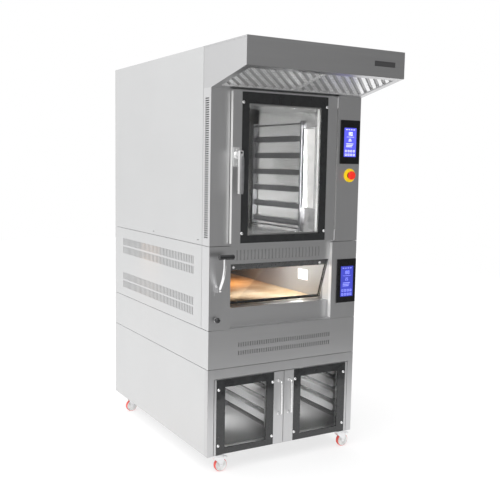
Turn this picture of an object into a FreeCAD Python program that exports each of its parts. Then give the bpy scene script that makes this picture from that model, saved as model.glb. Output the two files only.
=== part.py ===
import FreeCAD, Part

import math
import os

# Bakery oven stack on casters: proofer, service module, deck oven, convection oven, hood.
# Millimetres. Origin on the floor under the middle of the outline, +Z up, front towards -Y.

# ---- driving dimensions -------------------------------------------------------------------
HALF_WIDTH = 490.0          # half of the 980 mm body width
BODY_DEPTH = 1410.0
HOOD_OVERHANG = 363.0       # hood front ahead of the body front
FRONT = -(BODY_DEPTH - HOOD_OVERHANG) / 2      # y of the body front plane
BACK = FRONT + BODY_DEPTH
Z_BODY = 100.0              # underside of the cabinet, top of the casters
Z_SERVICE = 589.0           # proofer below, service module above
Z_DECK = 804.0              # deck oven starts
Z_OVEN = 1260.0             # convection oven starts
Z_HOOD = 2090.0             # hood starts
Z_HOOD_FRONT = 2168.0       # lower edge of the hood's front face
Z_TOP = 2308.0
SIDE_WALL = 20.0            # insulated side panels
COLUMN_DEPTH = 86.0         # depth of the front columns
BACK_INSET = 40.0           # back panels sit inside the side panels by this much
PLATE = 20.0                # plates between the stacked modules
PIN_CLEARANCE = 0.05        # radial running clearance of pins and shafts
SEAM = 2.5                  # open joint between neighbouring outer panels

INNER = HALF_WIDTH - SIDE_WALL
BACK_FACE = BACK - BACK_INSET
BACK_INNER = BACK_FACE - 20.0
COLUMN_BACK = FRONT + COLUMN_DEPTH

X_AXIS = FreeCAD.Vector(1, 0, 0)
Y_AXIS = FreeCAD.Vector(0, 1, 0)
Z_AXIS = FreeCAD.Vector(0, 0, 1)

os.makedirs("parts", exist_ok=True)


# ---- helpers ------------------------------------------------------------------------------
def vec(x, y, z):
    return FreeCAD.Vector(x, y, z)


def box(x0, x1, y0, y1, z0, z1):
    return Part.makeBox(x1 - x0, y1 - y0, z1 - z0, vec(x0, y0, z0))


def rod(radius, start, axis, length):
    return Part.makeCylinder(radius, length, start, axis)


def fuse(first, *others):
    return first.fuse(list(others)).removeSplitter()


def mirrored(shape):
    return shape.mirror(vec(0, 0, 0), X_AXIS)


def save(name, solids):
    if not isinstance(solids, (list, tuple)):
        solids = [solids]
    pieces = [solid for shape in solids for solid in shape.Solids]
    assert all(piece.isValid() for piece in pieces), name
    Part.makeCompound(pieces).exportStep(os.path.join("parts", name + ".step"))


def prism_x(points_yz, x0, x1):
    """Closed YZ outline pushed along X."""
    corners = [vec(x0, y, z) for y, z in points_yz]
    return Part.Face(Part.makePolygon(corners + corners[:1])).extrude(vec(x1 - x0, 0, 0))


def prism_y(points_xz, y0, y1):
    """Closed XZ outline pushed along Y."""
    corners = [vec(x, y0, z) for x, z in points_xz]
    return Part.Face(Part.makePolygon(corners + corners[:1])).extrude(vec(0, y1 - y0, 0))


def cut_slots(panel, slots):
    return panel.cut(Part.makeCompound(slots))


def slot_centres(first, last, pitch):
    count = int(round((last - first) / pitch))
    return [first + (last - first) * index / count for index in range(count + 1)]


# ---- base and casters ---------------------------------------------------------------------
RAIL = 40.0
RAIL_FRONT = FRONT + 38.0   # back of the proofer's front frame
CASTER_X = 420.0
CASTER_Y_FRONT = FRONT + 26.0
CASTER_Y_REAR = FRONT + 1226.0
CASTER_TRAIL = 26.0
WHEEL_RADIUS = 37.5
WHEEL_HALF_WIDTH = 12.0
LEG_INNER = 14.0
LEG_OUTER = 17.0
KINGPIN_RADIUS = 5.0
AXLE_RADIUS = 4.0
CROWN_BOTTOM, CROWN_TOP, CROWN_RADIUS = 83.0, 94.7, 24.0
HUB_RADIUS = 28.0
TOP_PLATE_HALF_X, TOP_PLATE_Y0, TOP_PLATE_Y1, TOP_PLATE_THICKNESS = 30.0, -24.0, 52.0, 5.0
NUT_RADIUS, NUT_HEIGHT, NUT_GAP = 9.0, 4.0, 0.3
PEDAL_PIN_U, PEDAL_PIN_Z, PEDAL_PIN_RADIUS = 39.0, 83.0, 3.0
PEDAL_REACH = 68.0


def base_frame():
    side = box(-INNER, -INNER + RAIL, RAIL_FRONT, BACK_INNER, Z_BODY, Z_BODY + RAIL)
    x = INNER - RAIL
    front = box(-x, x, RAIL_FRONT, RAIL_FRONT + RAIL, Z_BODY, Z_BODY + RAIL)
    rear = box(-x, x, BACK_INNER - RAIL, BACK_INNER, Z_BODY, Z_BODY + RAIL)
    floor = box(-x, x, RAIL_FRONT + RAIL, BACK_INNER - RAIL, Z_BODY + RAIL / 2, Z_BODY + RAIL)
    save("base_frame", [side, mirrored(side), front, rear, floor])


def caster_plate(x, y):
    underside = Z_BODY - TOP_PLATE_THICKNESS
    plate = box(x - TOP_PLATE_HALF_X, x + TOP_PLATE_HALF_X, y + TOP_PLATE_Y0, y + TOP_PLATE_Y1,
                underside, Z_BODY)
    nut_top = CROWN_BOTTOM - NUT_GAP
    shank = rod(KINGPIN_RADIUS, vec(x, y, nut_top), Z_AXIS, underside - nut_top)
    nut = rod(NUT_RADIUS, vec(x, y, nut_top - NUT_HEIGHT), Z_AXIS, NUT_HEIGHT)
    return fuse(plate, shank, nut)


def turned(shape, x, y, direction):
    """A caster piece drawn around its swivel axis, trailing along +X or -X, put in place."""
    if direction < 0:
        shape = shape.copy()
        shape.rotate(vec(0, 0, 0), Z_AXIS, 180)
    shape.translate(vec(x, y, 0))
    return shape


def caster_fork(with_pedal_bores):
    crown = rod(CROWN_RADIUS, vec(0, 0, CROWN_BOTTOM), Z_AXIS, CROWN_TOP - CROWN_BOTTOM)
    outline = [(-16, 90), (46, 90), (46, 77), (CASTER_TRAIL + 9, 29), (CASTER_TRAIL - 9, 29), (-16, 77)]
    legs = [prism_y(outline, LEG_INNER, LEG_OUTER), prism_y(outline, -LEG_OUTER, -LEG_INNER)]
    axle = rod(AXLE_RADIUS, vec(CASTER_TRAIL, -LEG_OUTER, WHEEL_RADIUS), Y_AXIS, 2 * LEG_OUTER)
    fork = fuse(crown, legs[0], legs[1], axle)
    fork = fork.cut(rod(KINGPIN_RADIUS + PIN_CLEARANCE, vec(0, 0, 70), Z_AXIS, 40))
    if with_pedal_bores:
        start = vec(PEDAL_PIN_U, -30, PEDAL_PIN_Z)
        fork = fork.cut(rod(PEDAL_PIN_RADIUS + PIN_CLEARANCE, start, Y_AXIS, 60))
    return fork


def caster_wheel():
    centre = vec(CASTER_TRAIL, 0, WHEEL_RADIUS)
    hub = rod(HUB_RADIUS, centre - vec(0, WHEEL_HALF_WIDTH, 0), Y_AXIS, 2 * WHEEL_HALF_WIDTH)
    hub = hub.cut(rod(AXLE_RADIUS + PIN_CLEARANCE, centre - vec(0, 30, 0), Y_AXIS, 60))
    tyre = rod(WHEEL_RADIUS, centre - vec(0, WHEEL_HALF_WIDTH, 0), Y_AXIS, 2 * WHEEL_HALF_WIDTH)
    rims = [edge for edge in tyre.Edges if edge.Curve.TypeId == "Part::GeomCircle"]
    tyre = tyre.makeFillet(4, rims)
    tyre = tyre.cut(rod(HUB_RADIUS, centre - vec(0, 30, 0), Y_AXIS, 60))
    return Part.makeCompound([hub, tyre])


def brake_pedal():
    outline = [(32, 79), (48, 79), (PEDAL_REACH, 75), (PEDAL_REACH, 81), (50, 87), (32, 87)]
    plate = prism_y(outline, -LEG_INNER + 0.5, LEG_INNER - 0.5)
    pin = rod(PEDAL_PIN_RADIUS, vec(PEDAL_PIN_U, -LEG_OUTER, PEDAL_PIN_Z), Y_AXIS, 2 * LEG_OUTER)
    return fuse(plate, pin)


def casters():
    places = {"fl": (-CASTER_X, CASTER_Y_FRONT, 1), "fr": (CASTER_X, CASTER_Y_FRONT, 1),
              "rl": (-CASTER_X, CASTER_Y_REAR, -1), "rr": (CASTER_X, CASTER_Y_REAR, -1)}
    save("caster_plates", [caster_plate(x, y) for x, y, _ in places.values()])
    for name, place in places.items():
        front = name.startswith("f")
        save("caster_fork_" + name, turned(caster_fork(front), *place))
        save("caster_wheel_" + name, turned(caster_wheel(), *place))
        if front:
            save("brake_pedal_" + name, turned(brake_pedal(), *place))


# ---- proofer ------------------------------------------------------------------------------
STILE = 38.0
PROOFER_OPENING_TOP = 533.0
DOOR_INNER_EDGE, DOOR_OUTER_EDGE = 1.5, 449.0
DOOR_Z0, DOOR_Z1 = 104.0, 529.0
DOOR_THICKNESS = 20.0
GLASS_THICKNESS = 5.0
GLASS_INNER, GLASS_OUTER, GLASS_TOP = 67.0, 436.0, 526.0
WINDOW_INNER, WINDOW_OUTER = 116.5, 381.0
WINDOW_Z0, WINDOW_Z1 = 141.0, 482.0
HINGE_X, HINGE_DEPTH, HINGE_PIN = 443.0, 6.0, 3.0
HINGE_PIN_REACH, HINGE_BRACKET = 13.0, 3.5
HANDLE_X, HANDLE_Z0, HANDLE_Z1, HANDLE_RADIUS, HANDLE_PROUD = 34.0, 283.0, 475.0, 6.0, 32.0
DIVIDER_HALF = 8.0
TRAY_LEVELS = [216.0, 292.0, 368.0, 444.0]
TRAY_POST_Y = [FRONT + 74.0, FRONT + 640.0]
TRAY_POST, TRAY_POST_DEPTH = 26.0, 30.0
TRAY_RAIL, TRAY_RAIL_HALF = 40.0, 23.0


def proofer_shell():
    side = box(-HALF_WIDTH, -INNER, RAIL_FRONT, BACK, Z_BODY, Z_SERVICE - SEAM)
    save("proofer_side_panels", [side, mirrored(side)])
    stile = box(-HALF_WIDTH, -HALF_WIDTH + STILE, FRONT, RAIL_FRONT, Z_BODY, PROOFER_OPENING_TOP)
    lintel = box(-HALF_WIDTH, HALF_WIDTH, FRONT, RAIL_FRONT, PROOFER_OPENING_TOP,
                 Z_SERVICE - SEAM)
    save("proofer_front_frame", [stile, mirrored(stile), lintel])
    floor = Z_BODY + RAIL
    panel = box(-DIVIDER_HALF, DIVIDER_HALF, RAIL_FRONT, BACK_INNER, floor, Z_SERVICE - PLATE)
    post = box(-DIVIDER_HALF, DIVIDER_HALF, FRONT + DOOR_THICKNESS + 4, RAIL_FRONT, floor,
               PROOFER_OPENING_TOP)
    save("proofer_divider", [panel, post])


def proofer_tray_rails():
    """Uprights and tray rails on both walls of each compartment."""
    first, last = TRAY_POST_Y
    pieces = []
    for wall, inward in ((-INNER, 1), (-DIVIDER_HALF, -1)):
        post_x = sorted((wall, wall + inward * TRAY_POST))
        rail_x = sorted((wall, wall + inward * TRAY_RAIL))
        for y in TRAY_POST_Y:
            pieces.append(box(*post_x, y, y + TRAY_POST_DEPTH, Z_BODY + RAIL, Z_SERVICE - PLATE))
        for z in TRAY_LEVELS:
            pieces.append(box(*rail_x, first + TRAY_POST_DEPTH, last,
                              z - TRAY_RAIL_HALF, z + TRAY_RAIL_HALF))
    save("proofer_tray_rails", pieces + [mirrored(piece) for piece in pieces])


def proofer_door_left():
    """Steel door body behind the glass, with the handle stile and the hinge strip in front."""
    behind = FRONT + GLASS_THICKNESS
    rear = FRONT + DOOR_THICKNESS
    hinge_stile = box(-DOOR_OUTER_EDGE, -WINDOW_OUTER, behind, rear, DOOR_Z0, DOOR_Z1)
    strip = box(-DOOR_OUTER_EDGE, -GLASS_OUTER, FRONT, behind, DOOR_Z0, DOOR_Z1)
    hinge_stile = fuse(hinge_stile, strip)
    bore_length = HINGE_PIN_REACH + 2
    for z in (DOOR_Z0 - 1, DOOR_Z1 + 1 - bore_length):
        start = vec(-HINGE_X, FRONT + HINGE_DEPTH, z)
        hinge_stile = hinge_stile.cut(rod(HINGE_PIN + PIN_CLEARANCE, start, Z_AXIS, bore_length))
    handle_stile = fuse(box(-WINDOW_INNER, -DOOR_INNER_EDGE, behind, rear, DOOR_Z0, DOOR_Z1),
                        box(-GLASS_INNER, -DOOR_INNER_EDGE, FRONT, behind, DOOR_Z0, DOOR_Z1))
    top = box(-WINDOW_OUTER, -WINDOW_INNER, behind, rear, WINDOW_Z1, DOOR_Z1)
    bottom = box(-WINDOW_OUTER, -WINDOW_INNER, behind, rear, DOOR_Z0, WINDOW_Z0)
    return [hinge_stile, handle_stile, top, bottom]


def bow_handle_left():
    """Grip bar on two round feet."""
    bar_y = FRONT - HANDLE_PROUD
    grip = rod(HANDLE_RADIUS, vec(-HANDLE_X, bar_y, HANDLE_Z0 - 6), Z_AXIS, HANDLE_Z1 - HANDLE_Z0 + 12)
    feet = [rod(HANDLE_RADIUS, vec(-HANDLE_X, bar_y + HANDLE_RADIUS, z), Y_AXIS,
                HANDLE_PROUD - HANDLE_RADIUS) for z in (HANDLE_Z0, HANDLE_Z1)]
    return [grip] + feet


def proofer_doors():
    door = proofer_door_left()
    glass = box(-GLASS_OUTER, -GLASS_INNER, FRONT, FRONT + GLASS_THICKNESS, DOOR_Z0, GLASS_TOP)
    handle = bow_handle_left()
    save("proofer_door_left", door)
    save("proofer_glass_left", glass)
    save("proofer_handle_left", handle)
    save("proofer_door_right", [mirrored(piece) for piece in door])
    save("proofer_glass_right", mirrored(glass))
    save("proofer_handle_right", [mirrored(piece) for piece in handle])


def proofer_hinges():
    y = FRONT + HINGE_DEPTH
    bracket_top = Z_BODY + HINGE_BRACKET
    bracket = box(-HALF_WIDTH + STILE, -HINGE_X + 7, FRONT, FRONT + 2 * HINGE_DEPTH, Z_BODY, bracket_top)
    lower = fuse(bracket, rod(HINGE_PIN, vec(-HINGE_X, y, bracket_top), Z_AXIS, HINGE_PIN_REACH))
    upper_start = DOOR_Z1 - HINGE_PIN_REACH + 1
    upper = rod(HINGE_PIN, vec(-HINGE_X, y, upper_start), Z_AXIS, PROOFER_OPENING_TOP - upper_start)
    return [lower, upper, mirrored(lower), mirrored(upper)]


# ---- service module -----------------------------------------------------------------------
SHEET = 4.0
SKIN = 3.0
VENT_ROWS = ((653.0, 677.0), (699.0, 724.0))
VENT_X0, VENT_X1, VENT_PITCH, VENT_HALF = -302.0, 307.0, 15.0, 3.0


def service_module():
    panel = box(-HALF_WIDTH, HALF_WIDTH, FRONT, FRONT + SHEET, Z_SERVICE, Z_DECK - SEAM)
    slots = []
    for z0, z1 in VENT_ROWS:
        for x in slot_centres(VENT_X0, VENT_X1, VENT_PITCH):
            slots.append(box(x - VENT_HALF, x + VENT_HALF, FRONT - 1, FRONT + SHEET + 1, z0, z1))
    save("vent_front_panel", cut_slots(panel, slots))
    side = box(-HALF_WIDTH, -INNER, FRONT + SHEET, BACK, Z_SERVICE, Z_DECK - SEAM)
    save("vent_side_panels", [side, mirrored(side)])
    save("control_box", box(-220, 220, FRONT + 220, FRONT + 560, Z_SERVICE, Z_SERVICE + 130))


def module_decks():
    """Plates that carry each module on the one below."""
    levels = [(RAIL_FRONT, Z_SERVICE), (FRONT + SHEET, Z_DECK), (COLUMN_BACK, Z_OVEN),
              (COLUMN_BACK, Z_HOOD)]
    save("module_decks", [box(-INNER, INNER, y0, BACK_INNER, top - PLATE, top) for y0, top in levels])


def back_panels():
    edges = [Z_BODY, Z_SERVICE, Z_DECK, Z_OVEN, Z_TOP]
    save("back_panels", [box(-INNER, INNER, BACK_INNER, BACK_FACE, z0, z1 - SKIN)
                         for z0, z1 in zip(edges, edges[1:])])


# ---- deck oven ----------------------------------------------------------------------------
DECK_LEFT, DECK_RIGHT = -360.0, 314.0       # inner faces of the columns
CHAMBER_LEFT, CHAMBER_RIGHT = -358.0, 312.0
SILL_TOP = 912.0
SILL_BACK = FRONT + 128.0
CHAMBER_BACK = FRONT + 1330.0
CHAMBER_TOP = 1180.0
LINER = 18.0
STONE = 20.0
BAND_Y, BAND_Z0 = FRONT + 27.0, 1155.0
SHAFT_Y, SHAFT_Z, SHAFT_RADIUS = FRONT + 42.0, 1160.0, 6.0
DOOR_TILT = 18.2
DECK_DOOR_LENGTH = 256.0
DECK_DOOR_LEFT, DECK_DOOR_RIGHT = -354.0, 308.0
LEVER_X, LEVER_Y, LEVER_Z = -435.0, FRONT - 16.0, 1025.0
GRIP_X, GRIP_Y, GRIP_Z = -422.0, FRONT - 68.0, 1208.0
KNOB_X, KNOB_Z = -445.0, 862.0
KNOB_RADIUS, KNOB_STEM_RADIUS, KNOB_REACH = 15.0, 4.0, 18.0
LEVER_PIN_RADIUS, LEVER_BOSS_RADIUS = 5.0, 11.0
SIDE_GRILLE_ROWS = ((860.0, 905.0), (915.0, 960.0), (1090.0, 1134.0), (1146.0, 1191.0))
SIDE_GRILLE_Y0, SIDE_GRILLE_Y1, SIDE_GRILLE_PITCH = FRONT + 195.0, FRONT + 1254.0, 21.0
BAND_SLOTS_X, BAND_SLOTS_Z, BAND_SLOT_PITCH = (-307.0, 237.0), (1175.0, 1231.0), 23.0
STONE_JOINT = (-23.5, -22.5)
CHAMBER_RAILS_X = (-330.0, 250.0)
HEATER_X, HEATER_PITCH, HEATER_Z, HEATER_RADIUS = (-303.0, 257.0), 112.0, 1168.0, 4.0
HEATER_START, HEATER_LENGTH = FRONT + 330.0, 1000.0
SHAFT_BORE = 22.0
LEVER_FOOT_HALF_X, LEVER_FOOT_HALF_Z, LEVER_EARS_X, LEVER_EAR = 20.0, 32.0, (-14.0, 8.0), 6.0
GRIP_RADIUS, GRIP_HALF = 13.5, 44.0


def deck_columns():
    top = Z_OVEN - SEAM
    left = box(-HALF_WIDTH, DECK_LEFT, FRONT, COLUMN_BACK, Z_DECK, top)
    left = left.cut(rod(KNOB_STEM_RADIUS + PIN_CLEARANCE, vec(KNOB_X, FRONT - 1, KNOB_Z), Y_AXIS,
                        COLUMN_DEPTH + 2))
    bore = SHAFT_RADIUS + PIN_CLEARANCE
    left = left.cut(rod(bore, vec(DECK_LEFT - SHAFT_BORE + 1, SHAFT_Y, SHAFT_Z), X_AXIS, SHAFT_BORE))
    right = box(DECK_RIGHT, HALF_WIDTH, FRONT, COLUMN_BACK, Z_DECK, top)
    right = right.cut(rod(bore, vec(DECK_RIGHT - 1, SHAFT_Y, SHAFT_Z), X_AXIS, SHAFT_BORE))
    foot = box(LEVER_X - LEVER_FOOT_HALF_X, LEVER_X + LEVER_FOOT_HALF_X, FRONT - SHEET, FRONT,
               LEVER_Z - LEVER_FOOT_HALF_Z, LEVER_Z + LEVER_FOOT_HALF_Z)
    ears = [box(LEVER_X + x, LEVER_X + x + LEVER_EAR, LEVER_Y - 10, FRONT - SHEET,
                LEVER_Z - 12, LEVER_Z + 12) for x in LEVER_EARS_X]
    first_ear, last_ear = LEVER_EARS_X
    pin = rod(LEVER_PIN_RADIUS, vec(LEVER_X + first_ear, LEVER_Y, LEVER_Z), X_AXIS,
              last_ear + LEVER_EAR - first_ear)
    save("deck_columns", [left, right, fuse(foot, ears[0], ears[1], pin)])


def deck_panels():
    band = box(DECK_LEFT, DECK_RIGHT, BAND_Y, BAND_Y + SHEET, BAND_Z0, Z_OVEN - SEAM)
    slots = [box(x - 4, x + 4, BAND_Y - 1, BAND_Y + SHEET + 1, *BAND_SLOTS_Z)
             for x in slot_centres(*BAND_SLOTS_X, BAND_SLOT_PITCH)]
    save("deck_vent_band", cut_slots(band, slots))
    save("deck_lower_panel", box(DECK_LEFT, DECK_RIGHT, FRONT + 38, COLUMN_BACK, Z_DECK, SILL_TOP))
    side = box(-HALF_WIDTH, -INNER, COLUMN_BACK + SEAM, BACK, Z_DECK, Z_OVEN - SEAM)
    slots = []
    for z0, z1 in SIDE_GRILLE_ROWS:
        for y in slot_centres(SIDE_GRILLE_Y0, SIDE_GRILLE_Y1, SIDE_GRILLE_PITCH):
            slots.append(box(-HALF_WIDTH - 1, -INNER + 1, y - 5, y + 5, z0, z1))
    side = cut_slots(side, slots)
    save("deck_side_panels", [side, mirrored(side)])


def deck_chamber():
    """Insulated liner of the baking chamber, standing on two rails."""
    x0, x1 = CHAMBER_LEFT - LINER, CHAMBER_RIGHT + LINER
    bottom = SILL_TOP - STONE
    threshold = box(CHAMBER_LEFT, CHAMBER_RIGHT, COLUMN_BACK, SILL_BACK, Z_DECK, SILL_TOP)
    floor = box(CHAMBER_LEFT, CHAMBER_RIGHT, SILL_BACK, CHAMBER_BACK, bottom - LINER, bottom)
    left = box(x0, CHAMBER_LEFT, COLUMN_BACK, CHAMBER_BACK, bottom - LINER, CHAMBER_TOP)
    right = box(CHAMBER_RIGHT, x1, COLUMN_BACK, CHAMBER_BACK, bottom - LINER, CHAMBER_TOP)
    back = box(x0, x1, CHAMBER_BACK, CHAMBER_BACK + LINER, bottom - LINER, CHAMBER_TOP)
    roof = box(x0, x1, COLUMN_BACK, CHAMBER_BACK + LINER, CHAMBER_TOP, CHAMBER_TOP + LINER)
    rails = [box(x, x + RAIL, SILL_BACK, CHAMBER_BACK, Z_DECK, bottom - LINER) for x in CHAMBER_RAILS_X]
    save("deck_chamber", [threshold, floor, left, right, back, roof] + rails)
    slabs = [box(CHAMBER_LEFT, STONE_JOINT[0], SILL_BACK, CHAMBER_BACK, bottom, SILL_TOP),
             box(STONE_JOINT[1], CHAMBER_RIGHT, SILL_BACK, CHAMBER_BACK, bottom, SILL_TOP)]
    save("deck_stone_floor", slabs)
    save("deck_heating_elements", [rod(HEATER_RADIUS, vec(x, HEATER_START, HEATER_Z), Y_AXIS, HEATER_LENGTH)
                                   for x in slot_centres(*HEATER_X, HEATER_PITCH)])


def tilted(shape):
    """Hangs a deck door piece, drawn with its shaft on the X axis, at its resting tilt."""
    shape.rotate(vec(0, 0, 0), X_AXIS, DOOR_TILT)
    shape.translate(vec(0, SHAFT_Y, SHAFT_Z))
    return shape


def deck_door():
    x0, x1 = DECK_DOOR_LEFT, DECK_DOOR_RIGHT
    pane = box(x0, x1, -4, 4, -DECK_DOOR_LENGTH, -6.5)
    save("deck_door_glass", tilted(pane))
    shaft = rod(SHAFT_RADIUS, vec(DECK_LEFT - 20, 0, 0), X_AXIS, DECK_RIGHT - DECK_LEFT + 40)
    clamp = box(x0, x1, 4, 9, -30, 3)
    save("deck_door_shaft", tilted(fuse(shaft, clamp)))


def deck_lever():
    """Bowed steel arm on a boss, with a round grip across its top."""
    boss = rod(LEVER_BOSS_RADIUS, vec(LEVER_X - 7.5, LEVER_Y, LEVER_Z), X_AXIS, 15)
    start = vec(LEVER_X, LEVER_Y - 4, LEVER_Z + 6)
    end = vec(LEVER_X, GRIP_Y, GRIP_Z)
    arc = Part.Arc(start, vec(LEVER_X, GRIP_Y + 2, LEVER_Z + 92), end)
    path = Part.Wire([arc.toShape()])
    section = Part.Wire([Part.makeCircle(6, start, arc.tangent(arc.FirstParameter)[0])])
    arm = path.makePipeShell([section], True, True)
    grip = rod(GRIP_RADIUS, vec(GRIP_X - GRIP_HALF, GRIP_Y, GRIP_Z), X_AXIS, 2 * GRIP_HALF)
    stem = fuse(boss, arm).cut(rod(LEVER_PIN_RADIUS + PIN_CLEARANCE,
                                  vec(LEVER_X - 20, LEVER_Y, LEVER_Z), X_AXIS, 40))
    save("deck_lever", [stem.cut(grip), grip])


def damper_knob():
    centre = vec(KNOB_X, FRONT - KNOB_REACH, KNOB_Z)
    ball = Part.makeSphere(KNOB_RADIUS, centre)
    stem = rod(KNOB_STEM_RADIUS, centre, Y_AXIS, COLUMN_DEPTH + 4)
    save("damper_knob", fuse(ball, stem))


# ---- convection oven ----------------------------------------------------------------------
OVEN_LEFT, OVEN_RIGHT = -376.0, 332.0       # inner faces of the columns
CAVITY_LEFT, CAVITY_RIGHT = -310.0, 230.0
CAVITY_Z0, CAVITY_Z1 = 1300.0, 2030.0
CAVITY_BACK = FRONT + 870.0
CAVITY_WALL = 16.0
TOOL_SLOTS = ((FRONT + 138.0, 1285.0), (FRONT + 748.0, 1280.0))
OVEN_DOOR_Z0, OVEN_DOOR_Z1 = 1272.0, 2080.0
OVEN_DOOR_LEFT, OVEN_DOOR_RIGHT = -373.0, 301.0
PANE_LEFT, PANE_RIGHT = -318.0, 238.0
OVEN_DOOR_FRONT, OVEN_DOOR_BACK = FRONT - 26.0, FRONT - 2.0
OVEN_HINGE_X, OVEN_HINGE_Y, OVEN_PIN = 309.0, FRONT - 20.0, 4.0
BARREL_RADIUS, BARREL_LENGTH = 8.0, 60.0
HANDLE_PIVOT_X, HANDLE_PIVOT_Z = -348.0, 1745.0
HANDLE_BOSS_RADIUS, HANDLE_BOSS = 21.0, 38.0
LEVER_GRIP_HALF, LEVER_GRIP_DEPTH, LEVER_GRIP_ABOVE, LEVER_GRIP_BELOW = 15.0, 24.0, 24.0, 205.0
FAN_X, FAN_Z = -40.0, 1665.0
FAN_SHAFT = 8.0
FAN_HUB_Y, FAN_DISC_RADIUS, FAN_DISC = FRONT + 800.0, 150.0, 3.0
FAN_BLADES, BLADE_INNER, BLADE_OUTER, BLADE_DEPTH, BLADE_SWEEP = 8, 70.0, 145.0, 50.0, 25.0
MOTOR_RADIUS, MOTOR_LENGTH, MOTOR_BORE = 80.0, 160.0, 40.0
BAFFLE_Y = FRONT + 780.0
RACK_LEVELS = [1354.0, 1454.0, 1554.0, 1654.0, 1754.0, 1854.0]
RACK_POST_Y = [FRONT + 200.0, FRONT + 754.0]
RACK_POST, RACK_RAIL, RACK_RAIL_HALF, RACK_TOP = 16.0, 26.0, 17.0, 1960.0
LAMP_THICKNESS = 6.0
OVEN_LAMP_Y, OVEN_LAMP_Z = (FRONT + 64.0, FRONT + 183.0), (1444.0, 1914.0)
DECK_LAMP_Y, DECK_LAMP_Z = (FRONT + 320.0, FRONT + 430.0), (997.0, 1060.0)
BAFFLE_RINGS, BAFFLE_HOLE, BAFFLE_HOLE_PITCH, BAFFLE_MARGIN = (0, 24, 48, 72, 96), 8.0, 24.0, 40.0
GASKET_WIDTH, GASKET_PROUD = 12.0, 1.7
UPPER_SCREEN = (348.0, 485.0, 1709.0, 1960.0)
LOWER_SCREEN = (351.0, 488.0, 894.0, 1153.0)
SCREEN_PROUD = 6.0
WINDOW_BOTTOM, WINDOW_TOP = 1315.0, 2018.0
ESTOP_X, ESTOP_Z = 421.0, 1643.0
ESTOP_STEM_RADIUS, ESTOP_CAP_RADIUS, ESTOP_PLATE_RADIUS = 8.0, 25.0, 39.0
LOUVRE_DEPTH = 8.0


def oven_columns():
    left = box(-HALF_WIDTH, OVEN_LEFT, FRONT, COLUMN_BACK, Z_OVEN, Z_HOOD)
    louvres = [box(-HALF_WIDTH - 1, -HALF_WIDTH + LOUVRE_DEPTH, FRONT + 22, FRONT + 65, z - 3, z + 3)
               for z in slot_centres(1306, 2037, 12)]
    right = box(OVEN_RIGHT, HALF_WIDTH, FRONT, COLUMN_BACK, Z_OVEN, Z_HOOD)
    hinge_post = box(OVEN_RIGHT - 14, OVEN_RIGHT, FRONT + 12, COLUMN_BACK, Z_OVEN, Z_HOOD)
    save("oven_columns", [cut_slots(left, louvres), right, hinge_post])


def oven_body():
    side = box(-HALF_WIDTH, -INNER, COLUMN_BACK + SEAM, BACK, Z_OVEN, Z_TOP)
    side = cut_slots(side, [box(-HALF_WIDTH - 1, -HALF_WIDTH + SHEET, y - 9, y + 9, z - 2, z + 2)
                            for y, z in TOOL_SLOTS])
    save("oven_side_panels", [side, mirrored(side)])
    x0, x1 = CAVITY_LEFT - CAVITY_WALL, CAVITY_RIGHT + CAVITY_WALL
    z0, z1 = CAVITY_Z0 - CAVITY_WALL, CAVITY_Z1 + CAVITY_WALL
    y0, y1 = FRONT + 4, FRONT + 12
    post = OVEN_RIGHT - 14
    save("oven_front_flange", [box(OVEN_LEFT, post, y0, y1, Z_OVEN, z0),
                               box(OVEN_LEFT, post, y0, y1, z1, Z_HOOD),
                               box(OVEN_LEFT, x0, y0, y1, z0, z1),
                               box(x1, post, y0, y1, z0, z1)])
    back = box(x0, x1, CAVITY_BACK, CAVITY_BACK + CAVITY_WALL, z0, z1)
    back = back.cut(rod(FAN_SHAFT + 4, vec(FAN_X, CAVITY_BACK - 1, FAN_Z), Y_AXIS, CAVITY_WALL + 2))
    walls = [box(x0, x1, y0, CAVITY_BACK, z0, CAVITY_Z0),
             box(x0, x1, y0, CAVITY_BACK, CAVITY_Z1, z1),
             box(x0, CAVITY_LEFT, y0, CAVITY_BACK, CAVITY_Z0, CAVITY_Z1),
             box(CAVITY_RIGHT, x1, y0, CAVITY_BACK, CAVITY_Z0, CAVITY_Z1), back]
    feet = [box(x, x + RAIL, COLUMN_BACK, CAVITY_BACK, Z_OVEN, z0) for x in (-300, 180)]
    save("oven_chamber", walls + feet)


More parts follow.
